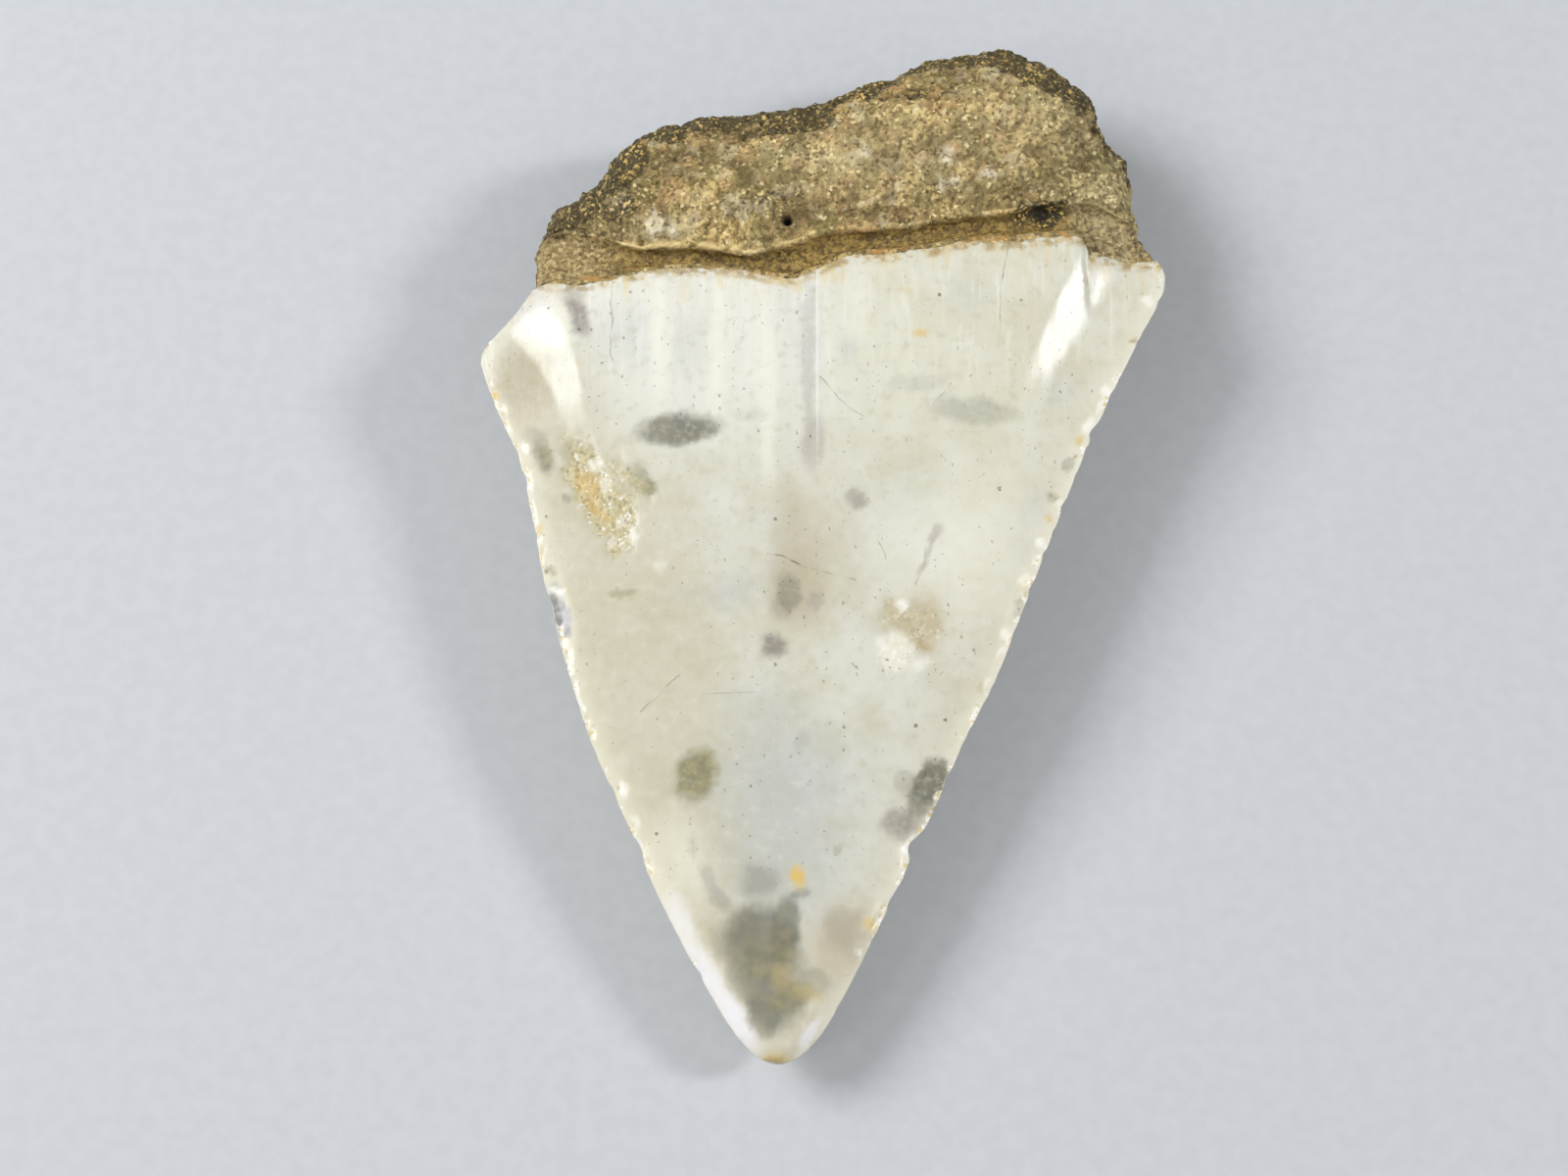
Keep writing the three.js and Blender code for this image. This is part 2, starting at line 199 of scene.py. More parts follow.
def nibbled(chips, y, seed):
    """How deep an edge is cut in plan, by its chips and by the fine nibbling between them."""
    fine = np.array([max(0.0, noise.noise(Vector((at / NIBBLE_SIZE, seed, 0.1)))) for at in y])
    chipped = sum(depth * bump(y - at, length) ** 2 for at, length, depth in chips)
    return NIBBLE_DEPTH * fine + chipped


def blade_plan(row, across, enamel_end):
    """Where each point of a face of the blade lies in plan, its edges chipped and nibbled.

    Across is -1 on the left edge and 1 on the right one. The straight line between the shoulders
    is bowed to the enamel's end, and the rows before it less and less.
    """
    share = (across + 1) / 2
    left = along(LEFT_EDGE, row)
    right = along(RIGHT_EDGE, row)
    chord = lerp(np.array(LEFT_EDGE[-1]), np.array(RIGHT_EDGE[-1]), share[:, None])
    bow = along(enamel_end, share) - chord
    plan = lerp(left[:, None], right[:, None], share[None, :, None]) + bow * (row ** 3)[:, None, None]
    reach = np.minimum(CHIP_REACH, CHIP_REACH_AS_SHARE * (right - left)[:, :1])
    near_left = bump(plan[..., 0] - left[:, :1], reach)
    near_right = bump(plan[..., 0] - right[:, :1], reach)
    past_tip = ramp(row, 0, 0.03)[:, None]
    plan[..., 0] += past_tip * near_left * nibbled(LEFT_CHIPS, left[:, 1], 3.7)[:, None]
    plan[..., 0] -= past_tip * near_right * nibbled(RIGHT_CHIPS, right[:, 1], 9.2)[:, None]
    return plan


def down_slope(slope, x, y):
    """0 on the blade's thick body, 1 on the thin wing of the shoulder beside it."""
    head = through(slope["head"], y)
    foot = through(slope["foot"], y)
    straight = (x - head) / (foot - head)
    return lerp(np.clip(straight, 0, 1), ramp(straight, 0, 1), slope["softness"])


def labial_rise(row, across, x, y, thickness):
    """How far the labial face stands above the cutting edges."""
    swell = np.sqrt(np.minimum(1, row / TIP_ROWS))
    face = 1 - np.abs(across) ** through(LABIAL_FLATNESS, row)
    body = (1 - down_slope(LEFT_SLOPE, x, y)) * (1 - down_slope(RIGHT_SLOPE, x, y))
    folds = sum(height * bump(x - at, width) for at, width, height in FOLDS)
    folds = bump(FOLDS_START - y, FOLDS_LENGTH) * folds
    return (face * (swell * through(BLADE_RISE, row) + folds + thickness)
            + np.sqrt(np.maximum(face, 0)) * body * through(BODY_RAISE, y))


def lingual_drop(row, across):
    """How far the lingual face hangs below the cutting edges."""
    swell = np.sqrt(np.minimum(1, row / TIP_ROWS))
    return swell * through(BLADE_BELLY, row) * np.maximum(0, 1 - across ** 2) ** BELLY_FULLNESS


def crowded(columns, crowding):
    """Columns over a face from left to right, closer together towards its outline."""
    even = np.linspace(-1, 1, columns + 1)
    return lerp(even, np.sin(even * math.pi / 2), crowding)


def quads(grid, order):
    """The faces of a grid of point numbers, each with its four corners in that order."""
    corners = [grid[:-1, :-1], grid[:-1, 1:], grid[1:, 1:], grid[1:, :-1]]
    return np.stack([corners[k] for k in order], -1).reshape(-1, 4).tolist()


def closed_skin(name, labial, lingual):
    """A closed mesh from two faces, each a grid of points in millimetres from the tip to the root.

    The lingual grid has every second column of the labial one, and they share their outline.
    Faces of five corners close the first row and the last one.
    """
    rows, wide = labial.shape[:2]
    narrow = lingual.shape[1]
    top = np.arange(rows * wide).reshape(rows, wide)
    under = np.zeros((rows, narrow), int)
    under[:, 1:-1] = rows * wide + np.arange(rows * (narrow - 2)).reshape(rows, narrow - 2)
    under[:, [0, -1]] = top[:, [0, -1]]
    faces = quads(top, (0, 1, 2, 3)) + quads(under, (1, 0, 3, 2))
    for row, turn in ((0, 1), (-1, -1)):
        for k in range(narrow - 1):
            below = under[row, k:k + 2]
            above = top[row, 2 * k:2 * k + 3]
            corners = dict.fromkeys([*below.tolist(), *above[::-1].tolist()])
            faces.append(list(corners)[::turn])
    points = np.concatenate([labial.reshape(-1, 3), lingual[:, 1:-1].reshape(-1, 3)])
    points = np.clip((points - PLAN_MIDDLE) * MM, *cad_box)
    mesh = bpy.data.meshes.new(name)
    mesh.from_pydata(points.tolist(), [], faces)
    mesh.shade_smooth()
    piece = bpy.data.objects.new(name, mesh)
    bpy.context.scene.collection.objects.link(piece)
    return piece


# The first rows, from just off the tip, are the closest together.
FIRST_ROW = 0.0006
TIP_STRETCH = 0.02
ENAMEL_COLUMNS = 240
ENAMEL_ROWS = np.concatenate([
    FIRST_ROW + TIP_STRETCH * np.linspace(0, 1, 14, endpoint=False) ** 2,
    np.linspace(FIRST_ROW + TIP_STRETCH, 1, 250),
])
labial_across = crowded(ENAMEL_COLUMNS, 0.35)
lingual_across = labial_across[::2]


def enamel_face(across, enamel_end):
    """A face of the blade as grids of row, across, X and Y, and its width at each row."""
    plan = blade_plan(ENAMEL_ROWS, across, enamel_end)
    row, side = np.meshgrid(ENAMEL_ROWS, across, indexing="ij")
    wide = plan[:, -1:, 0] - plan[:, :1, 0]
    return row, side, plan[..., 0], plan[..., 1], wide + 0 * row


def patch(places, at_x, at_y, width, length, turn, soft):
    """1 inside an ellipse that is turned by some degrees, 0 outside, with a soft outline."""
    cosine = math.cos(math.radians(turn))
    sine = math.sin(math.radians(turn))
    x = places[..., 0] - at_x
    y = places[..., 1] - at_y
    reach = np.hypot((x * cosine + y * sine) / width, (y * cosine - x * sine) / length)
    return 1 - ramp(reach, 1 - soft, 1 + soft)


def patches(places, areas):
    """The strongest at each place of some turned ellipses.

    Each is (X, Y, half width, half length, turn, softness, strength).
    """
    return np.maximum.reduce([strength * patch(places, *ellipse) for *ellipse, strength in areas])


def shake(points, amount, size, seed):
    """A shift in plan of each point by up to that amount, to fray what is drawn by place."""
    shift_x = wander(points, size, seed)
    shift_y = wander(points, size, seed + 1)
    return amount * np.stack([shift_x, shift_y, 0 * shift_x], -1)


# The labial face. Its enamel ends in a jagged line, a little lower than on the solid.
END_LOWERED = 0.4
LOWERED_FROM = 0.955
row, side, x, y, wide = enamel_face(labial_across, LABIAL_ENAMEL)
by_x = np.stack([x, 0 * x, 0 * x], -1)
jagged = 0.16 * wander(by_x, 0.9, 12) + 0.09 * wander(by_x, 0.24, 13)
y = y + (jagged - END_LOWERED) * ramp(row, LOWERED_FROM, 1.0) * (1 - side ** 8)
ground = np.stack([x, y, 0 * x], -1)
from_left = (1 + side) * wide / 2
from_right = (1 - side) * wide / 2
from_edge = np.minimum(from_left, from_right)
rise = labial_rise(row, side, x, y, ENAMEL_THICKNESS * ramp(row, 0, 1))

# Near the tip two flat bevels lead down to the cutting edges, the left one the less steep. They
# meet the flat between them in a rounded line.
LEFT_BEVEL = 0.42
RIGHT_BEVEL = 0.46
EDGE_STAND = 0.05
BEVEL_ROUND = 0.08
bevels = np.minimum(EDGE_STAND + LEFT_BEVEL * from_left, EDGE_STAND + RIGHT_BEVEL * from_right)
flat = through(BLADE_RISE, row) * np.sqrt(np.minimum(1, row / TIP_ROWS))
bevels = flat - BEVEL_ROUND * np.logaddexp(0, (flat - bevels) / BEVEL_ROUND)
bevels = np.maximum(0, bevels) * ramp(from_edge, -0.02, 0.03)
rise = lerp(bevels, rise, ramp(row, 0.13, 0.27))

# A low step runs down the middle, and the flake right of the rightmost crack has sunk a little.
STEP_HEIGHT = 0.02
STEP_X = -0.63
FLAKE_SUNK = 0.08
rise += STEP_HEIGHT * ramp(x - STEP_X, -0.12, 0.12) * (1 - ramp(x, 0.3, 2.4)) * ramp(y, 2.5, 7.0)
crack = x - through([(10.0, 12.5), (13.5, 12.2)], y)
rise -= FLAKE_SUNK * ramp(crack, -0.03, 0.03) * (1 - ramp(crack, 0.3, 3.6)) * ramp(y, 9.6, 10.6)

# Shallow ribs fan down from the root, and the whole face waves slightly.
RIB_HEIGHT = 0.016
WAVE_HEIGHT = 0.02
ribs = wander(np.stack([x + 0.02 * y, y * 0.06, 0 * x], -1), 0.55, 1)
ribs += 0.7 * wander(np.stack([x, y * 0.08, 0 * x], -1), 1.4, 2)
rise += RIB_HEIGHT * ribs * ramp(y, 1.0, 11.0) * ramp(from_edge, 0.3, 2.0)
rise += WAVE_HEIGHT * wander(ground, 2.6, 3) * ramp(from_edge, 0.1, 1.0)

# The enamel has spalled off in two patches, down to a sugary floor, a flake is gone from the left
# edge, and both edges are crumbled.
SPALL_DEPTH = 0.09
CRUMBLE_DEPTH = 0.16
FLAKED_DEPTH = 0.07
SPALLS = [
    (-11.4, 3.0, 0.7, 1.3, 20, 0.6, 0.6),
    (-10.9, 1.9, 0.85, 1.9, 26, 0.45, 0.9),
    (-9.9, 0.2, 1.0, 2.0, 30, 0.5, 1.0),
    (-9.2, 1.9, 0.5, 1.5, 38, 0.6, 0.6),
    (4.3, -5.1, 1.15, 1.15, 0, 0.25, 0.42),
    (3.0, -4.6, 0.5, 0.7, 0, 0.5, 0.45),
    (3.2, -6.4, 0.9, 1.0, 0, 0.5, 0.45),
]
spall = patches(ground + shake(ground, 0.5, 0.8, 4) + shake(ground, 0.2, 0.3, 14), SPALLS)
sugar = 0.1 * speckle(ground, 0.22, 6)
rise -= spall * (SPALL_DEPTH + sugar + 0.05 * wander(ground, 0.2, 7))
crumbled = bump(from_edge, 0.32) * ramp(row, 0.06, 0.24)
nicks = np.maximum(0, wander(ground, 0.3, 8) + 0.6 * wander(ground, 0.9, 18))
rise -= CRUMBLE_DEPTH * crumbled * nicks
rise -= FLAKED_DEPTH * patch(ground, -12.3, -4.45, 0.5, 1.6, 14, 0.8)
labial = np.stack([x, y, through(EDGE_HEIGHT, row) + rise], -1)
labial[:, [0, -1], 2] = through(EDGE_HEIGHT, ENAMEL_ROWS)[:, None]

# What the material reads at each point, and the frayed places by which its stains are drawn. The edges
# get a painted glow, paler colour standing in for light coming through them.
GLOW_REACH = 0.75
labial_marks = {
    "spall": spall,
    "crumb": crumbled * np.clip(2.5 * nicks, 0, 1),
    "painted_glow": bump(from_edge, GLOW_REACH),
    "labial": 1 + 0 * x,
    "margin": ramp(row, 0.93, 1.0),
}
labial_places = ground + shake(ground, 0.2, 0.7, 16) + shake(ground, 0.12, 0.25, 19)

# The lingual face is a plain belly with crumbled edges.
row, side, x, y, wide = enamel_face(lingual_across, LINGUAL_ENAMEL)
ground = np.stack([x, y, 0 * x], -1)
from_edge = (1 - np.abs(side)) * wide / 2
drop = lingual_drop(row, side) + WAVE_HEIGHT * wander(ground, 2.4, 9) * ramp(from_edge, 0.1, 1.0)
lingual = np.stack([x, y, np.maximum(0, through(EDGE_HEIGHT, row) - drop)], -1)
crumbled = bump(from_edge, 0.3) * ramp(row, 0.01, 0.05)
lingual_marks = {
    "spall": 0 * x,
    "crumb": crumbled * np.clip(3 * wander(ground, 0.3, 8), 0, 1),
    "painted_glow": bump(from_edge, GLOW_REACH),
    "labial": 0 * x,
    "margin": ramp(row, 0.93, 1.0),
}
lingual_places = ground + shake(ground, 0.2, 0.7, 10)

# Stains and painted light in the enamel by kind, as turned ellipses: (X, Y, half width, half length,
# turn, strength).
LABIAL_STAINS_AND_SHEEN = {
    "smoke": [
        (-6.7, 4.2, 1.87, 0.71, 4, 0.85), (-6.4, 4.1, 1.09, 0.52, 0, 0.35),
        (-13.1, 3.1, 0.45, 0.9, 20, 0.5), (7.0, 5.1, 1.92, 0.62, -4, 0.33),
        (4.3, 6.3, 1.46, 0.38, 0, 0.16), (-3.6, -18.9, 0.8, 0.8, 0, 0.5),
        (-1.8, -18.9, 0.62, 1.5, -10, 0.75), (-2.9, -19.8, 1.6, 1.9, 10, 0.5),
        (-2.2, -22.2, 1.2, 1.3, 0, 0.5), (-2.7, -22.8, 0.7, 0.9, 15, 0.55),
        (-0.5, -21.2, 0.7, 0.6, 0, 0.35), (4.75, -12.2, 0.62, 1.05, -28, 0.9),
        (4.3, -13.0, 0.6, 0.9, -25, 0.6), (3.7, -12.3, 0.55, 0.6, 10, 0.3),
        (-1.1, -17.3, 0.44, 0.22, 0, 0.5), (11.4, 2.7, 0.27, 0.38, -30, 0.4),
        (-12.0, 1.0, 0.18, 0.19, 0, 0.5), (-1.6, -3.6, 0.6, 0.8, 10, 0.5),
        (-3.4, 4.8, 0.82, 0.28, 0, 0.15), (-2.6, -20.6, 1.7, 2.4, 10, 0.45),
        (-2.8, -19.4, 1.2, 1.3, 0, 0.35), (4.75, -12.3, 0.6, 1.0, -28, 0.95),
    ],
    "mauve": [
        (-11.5, 9.7, 0.41, 0.96, 20, 0.85), (-11.8, 10.7, 0.55, 0.63, 10, 0.4),
        (-2.3, -6.1, 0.52, 0.55, 0, 0.85), (-2.0, -4.3, 0.54, 0.56, 0, 0.3),
        (-0.4, -4.0, 0.4, 0.45, 0, 0.35), (1.5, 0.8, 0.5, 0.42, -30, 0.6),
        (5.1, -0.8, 0.23, 0.42, -30, 0.5), (4.7, -1.9, 0.11, 1.03, -24, 0.35),
        (3.3, -14.2, 0.75, 0.6, -10, 0.65), (4.1, -13.8, 0.6, 0.8, -20, 0.5),
        (-0.5, 3.6, 0.55, 1.3, -10, 0.35), (-6.0, -15.2, 0.26, 0.44, 10, 0.2),
        (-5.3, -16.6, 0.31, 0.61, 30, 0.35), (-4.7, -17.6, 0.35, 0.61, 35, 0.4),
        (-3.0, -16.8, 0.88, 0.7, 0, 0.5), (0.8, -19.0, 0.9, 1.0, 0, 0.3),
        (-4.5, -19.6, 0.5, 1.0, 15, 0.3), (-3.3, -21.9, 0.39, 0.86, 25, 0.3),
        (-1.0, -10.5, 0.31, 0.54, -30, 0.2), (9.0, -4.1, 0.22, 0.74, -25, 0.4),
        (-13.5, 4.0, 0.55, 0.47, 0, 0.3), (-0.75, 8.0, 0.32, 4.4, 0, 0.3),
    ],
    "glass": [(-12.15, -4.45, 0.4, 1.35, 14, 0.95), (4.9, -14.7, 0.25, 0.45, -25, 0.5)],
    "olive": [
        (-5.8, -12.0, 0.93, 1.15, -22, 0.85), (-13.0, 3.1, 0.27, 0.66, 15, 0.6),
        (-2.7, -20.3, 1.1, 0.9, 0, 0.35), (-1.6, -21.9, 0.9, 0.7, 30, 0.5),
        (-8.5, 1.8, 0.5, 0.8, 30, 0.5), (-8.0, 1.4, 0.3, 0.4, 20, 0.75),
        (-1.7, -19.6, 0.5, 0.9, 0, 0.3), (-9.2, -3.6, 0.72, 0.21, 8, 0.42),
        (-12.7, -2.4, 0.23, 0.28, 0, 0.6), (0.6, -15.4, 0.22, 0.26, 0, 0.35),
        (10.6, 1.2, 0.27, 0.28, 0, 0.5), (0.1, -12.8, 0.53, 0.44, 0, 0.12),
        (-14.3, 7.1, 1.1, 1.3, 0, 0.2), (-11.7, 3.3, 0.55, 0.6, 20, 0.35),
    ],
    "brown": [
        (-11.0, 1.3, 0.54, 1.12, 20, 0.35), (0.9, -19.2, 1.1, 1.5, -20, 0.22),
        (14.6, 8.9, 0.14, 0.14, 0, 0.9), (11.7, 3.2, 0.12, 0.12, 0, 0.9),
        (4.4, -6.0, 0.5, 0.3, 0, 0.6), (4.3, -5.0, 1.2, 1.2, 0, 0.55), (3.1, -4.6, 0.5, 0.8, 0, 0.4),
        (-2.3, -24.7, 0.45, 0.22, 0, 0.9), (7.2, -7.9, 0.18, 0.27, -20, 0.35),
        (-1.4, 1.0, 0.54, 1.4, 0, 0.15), (-1.0, -3.6, 1.3, 1.3, 0, 0.2),
        (-0.6, -1.0, 1.2, 1.6, 0, 0.14), (0.4, -19.6, 1.3, 1.6, 0, 0.25),
        (-14.1, 6.7, 1.4, 1.9, 0, 0.38), (10.6, 8.6, 2.4, 1.2, -60, 0.12),
    ],
    "amber": [
        (-1.2, -16.6, 0.36, 0.45, 0, 1.0), (4.5, 8.6, 0.32, 0.19, -5, 0.7),
        (-15.3, 6.2, 0.18, 0.19, 0, 0.8), (-14.8, 4.6, 0.23, 0.14, -50, 0.5),
        (-13.2, -0.4, 0.18, 0.28, 0, 0.55), (-13.0, -1.6, 0.14, 0.23, 0, 0.5),
        (-6.6, 10.8, 0.28, 0.68, 0, 0.15), (-1.2, 11.1, 0.28, 0.29, 0, 0.35),
        (-2.1, 11.2, 0.46, 0.24, 0, 0.4), (-10.7, 0.6, 0.34, 0.2, -35, 0.75),
        (-10.1, 0.2, 0.5, 0.16, -35, 0.6), (-10.9, 1.6, 0.5, 0.7, 20, 0.75),
        (2.0, -18.7, 0.31, 0.3, 40, 0.75), (11.9, 3.9, 0.23, 0.19, -20, 0.7),
        (10.4, 0.1, 0.23, 0.19, -20, 0.8), (0.8, 11.4, 0.28, 0.24, 0, 0.25),
        (3.8, 10.7, 0.28, 0.24, 0, 0.25), (-1.9, -21.0, 0.6, 0.42, 20, 0.22),
        (-0.9, -21.8, 0.8, 0.35, -5, 0.25), (-11.5, 7.4, 0.18, 0.14, 0, 0.25),
        (9.2, -3.0, 0.36, 0.23, 0, 0.5), (-2.1, -24.6, 0.7, 0.3, 0, 0.45),
    ],
    "blue": [
        (1.2, 7.9, 0.41, 0.43, 0, 0.5), (-4.0, -3.5, 1.17, 0.74, 30, 0.5),
        (-6.2, -3.7, 0.9, 0.46, 0, 0.3), (-9.3, 8.7, 1.38, 1.25, 0, 0.35),
        (-6.5, 7.9, 1.83, 1.44, 0, 0.25), (6.8, 10.6, 0.92, 0.97, 0, 0.25),
        (-1.9, -12.5, 3.09, 2.65, 0, 0.8), (-2.8, -8.9, 1.78, 1.14, 0, 0.35),
        (3.1, -0.6, 1.17, 2.82, -20, 0.2), (9.7, 0.4, 0.63, 1.21, -25, 0.3),
        (9.4, -1.6, 0.54, 0.66, -25, 0.3), (11.1, 6.3, 0.73, 0.95, -25, 0.35),
        (-0.7, 8.7, 0.5, 3.0, 0, 0.4), (-13.5, 0.8, 0.45, 0.75, 8, 0.45),
        (-14.9, 6.0, 0.41, 0.95, 15, 0.35), (-1.9, -16.5, 2.6, 2.2, 0, 0.7),
    ],
    # White chalky chips and crumbs, and painted glints: white spots where light shines off the chipped
    # edges.
    "chalk_and_glints": [
        (15.3, 10.9, 0.32, 0.19, -20, 0.7), (13.8, 7.0, 0.18, 0.43, -30, 0.7),
        (13.3, 6.3, 0.27, 0.24, -30, 0.95), (13.0, 5.6, 0.14, 0.38, -30, 0.6),
        (12.4, 4.6, 0.23, 0.38, -25, 0.8), (10.0, -1.1, 0.23, 0.23, -20, 0.85),
        (9.7, -2.1, 0.14, 0.19, -20, 0.8), (9.2, -2.9, 0.36, 0.28, 0, 0.7),
        (8.3, -5.3, 0.22, 0.23, -20, 0.9), (8.1, -6.2, 0.13, 0.41, -25, 0.5),
        (7.5, -7.7, 0.11, 0.37, -20, 0.4), (-10.6, 2.6, 0.36, 0.28, 20, 0.9),
        (-10.1, 1.7, 0.27, 0.37, 20, 0.75), (-9.4, -0.2, 0.23, 0.33, 30, 0.7),
        (-9.8, -1.1, 0.22, 0.3, 20, 0.8), (-8.8, -0.9, 0.3, 0.22, 0, 0.7),
        (-7.5, -2.3, 0.32, 0.19, 20, 0.3), (3.5, -4.1, 0.22, 0.3, 30, 0.9),
        (3.2, -6.3, 0.75, 0.85, 20, 0.8), (4.4, -6.8, 0.45, 0.28, 0, 0.45),
        (-12.3, -3.4, 0.4, 0.16, -10, 0.8), (-12.75, -4.2, 0.1, 0.7, 14, 0.5),
        (-13.9, 3.5, 0.14, 0.28, 35, 0.9), (-13.7, 2.2, 0.14, 0.23, 20, 0.6),
        (-9.1, -12.6, 0.26, 0.3, 0, 0.75), (-8.6, -14.1, 0.18, 0.31, 20, 0.5),
        (-8.3, -15.3, 0.15, 0.35, 20, 0.5), (3.7, -15.4, 0.2, 0.24, -30, 0.85),
        (4.0, -14.9, 0.22, 0.18, 0, 0.7), (1.5, -19.8, 0.17, 0.13, 0, 0.7),
        (10.9, 0.9, 0.18, 0.19, 0, 0.5), (-11.2, -8.3, 0.1, 0.6, 14, 0.5),
    ],
    # Paler cream patches. The narrow upright streaks on the crown are painted highlights of its folds,
    # and the patch at the left shoulder is painted sheen beside the slope's highlight.
    "cream_and_sheen": [
        (6.9, -1.2, 2.2, 3.6, -20, 0.45), (-6.4, -15.8, 1.1, 1.9, 25, 0.4),
        (3.2, -1.4, 1.4, 2.4, -15, 0.3), (-7.7, 8.4, 0.45, 2.4, 2, 0.55),
        (-4.95, 7.6, 0.4, 3.0, -2, 0.5), (-2.7, 7.4, 0.4, 3.4, 2, 0.6),
        (-2.6, 3.0, 0.3, 1.6, 0, 0.35), (1.6, 9.8, 0.5, 1.8, 0, 0.4), (-12.6, 9.6, 0.9, 1.4, 0, 0.5),
    ],
    # Painted highlights: pale lavender-white sheen on the tip's bevels and the left shoulder, as light
    # shining off them.
    "painted_sheen": [
        (-6.0, -19.7, 0.5, 2.2, 30, 0.4), (-4.9, -21.5, 0.5, 1.9, 34, 0.65),
        (-3.7, -23.2, 0.45, 1.1, 36, 0.75), (-0.7, -23.5, 0.24, 0.8, -35, 0.75),
        (-6.4, -18.2, 0.35, 1.2, 25, 0.4), (-13.6, 10.4, 0.9, 1.2, 0, 0.3),
    ],
}
LINGUAL_STAINS_AND_SHEEN = {
    "smoke": [
        (5.6, -1.5, 0.9, 1.3, 15, 0.6), (-8.2, 2.4, 1.4, 0.6, -10, 0.55),
        (-1.5, -20.6, 1.1, 1.6, 5, 0.6), (1.4, -14.2, 0.6, 0.8, 30, 0.5),
    ],
    "mauve": [
        (-5.1, -7.2, 0.7, 0.9, 20, 0.5), (9.4, 5.1, 0.8, 0.5, 0, 0.4), (-0.6, 1.7, 0.5, 0.6, 0, 0.5),
    ],
    "glass": [(10.9, -0.8, 0.4, 0.9, -25, 0.8)],
    # A painted highlight near the tip.
    "painted_sheen": [(3.0, -21.0, 0.6, 1.8, -25, 0.5)],
    "cream_and_sheen": [(-4.6, -13.0, 1.6, 3.0, 20, 0.4), (6.4, 2.0, 1.8, 2.4, -20, 0.4)],
    "olive": [
        (-3.8, -15.1, 0.8, 1.2, -15, 0.6), (7.2, -5.6, 0.5, 0.7, 25, 0.5),
        (-2.2, -23.1, 0.6, 0.6, 0, 0.5),
    ],
    "brown": [
        (-10.8, 6.9, 1.2, 0.6, 20, 0.35), (2.7, 4.6, 0.9, 0.5, -10, 0.3),
        (-2.1, -24.7, 0.4, 0.2, 0, 0.8),
    ],
    "amber": [
        (4.1, -9.6, 0.3, 0.4, 0, 0.8), (-12.3, 3.6, 0.3, 0.3, 0, 0.6), (11.2, 7.4, 0.3, 0.2, 0, 0.6),
    ],
    "blue": [
        (-2.5, -9.8, 2.8, 2.4, 0, 0.45), (3.4, -3.1, 1.6, 2.2, 0, 0.35),
        (-6.6, -1.2, 1.5, 1.3, 0, 0.3),
    ],
    "chalk_and_glints": [
        (8.1, -4.4, 0.3, 0.4, -25, 0.7), (-9.4, -12.4, 0.25, 0.4, 20, 0.7),
        (-12.9, -1.1, 0.2, 0.5, 10, 0.6),
    ],
}

# How far each kind fades in and out about its outline, as a share of its size.
SOFT = {
    "smoke": 0.32, "mauve": 0.5, "glass": 0.3, "olive": 0.35, "brown": 0.5, "amber": 0.6,
    "blue": 0.9, "chalk_and_glints": 0.4, "painted_sheen": 0.6, "cream_and_sheen": 0.9,
}


def stain_and_sheen(stains, places, kind):
    """How strongly one kind of stain or painted light tints each point, where overlapping ones add up.
    """
    clear = np.ones(places.shape[:-1])
    for *ellipse, strength in stains[kind]:
        clear *= 1 - strength * patch(places, *ellipse, SOFT[kind])
    return 1 - clear


def carry(piece, name, values):
    """Store a value at every point of a piece, for its material to read."""
    piece.data.attributes.new(name, "FLOAT", "POINT").data.foreach_set("value", values)


END_ROUND = 0.05
END_LENGTH = 0.08
END_DEPTH = 0.7


def with_inner_end(face, depth):
    """Two more rows: the enamel turns down over a rounded lip, and runs on inside the root."""
    lip = face[-1] + np.array([0, END_ROUND, 0]) - depth * np.array([0, 0, END_ROUND])
    inside = face[-1] + np.array([0, END_LENGTH, 0]) - depth * np.array([0, 0, END_DEPTH])
    return np.concatenate([face, lip[None], inside[None]])


def carry_enamel(name, labial, lingual):
    """Carry values of the two faces, whose last row's values serve the inner end as well."""
    labial, lingual = (np.concatenate([face, face[-1:], face[-1:]]) for face in (labial, lingual))
    carry(blade, name, np.concatenate([labial.reshape(-1), lingual[:, 1:-1].reshape(-1)]))


depth = (1 - np.abs(labial_across) ** 6)[:, None]
labial = with_inner_end(labial, depth)
lingual = with_inner_end(lingual, -depth[::2])
blade = closed_skin("enamel_blade", labial, lingual)
for kind in SOFT:
    labial_stain_and_sheen = stain_and_sheen(LABIAL_STAINS_AND_SHEEN, labial_places, kind)
    lingual_stain_and_sheen = stain_and_sheen(LINGUAL_STAINS_AND_SHEEN, lingual_places, kind)
    carry_enamel(kind, labial_stain_and_sheen, lingual_stain_and_sheen)
for kind in labial_marks:
    carry_enamel(kind, labial_marks[kind], lingual_marks[kind])


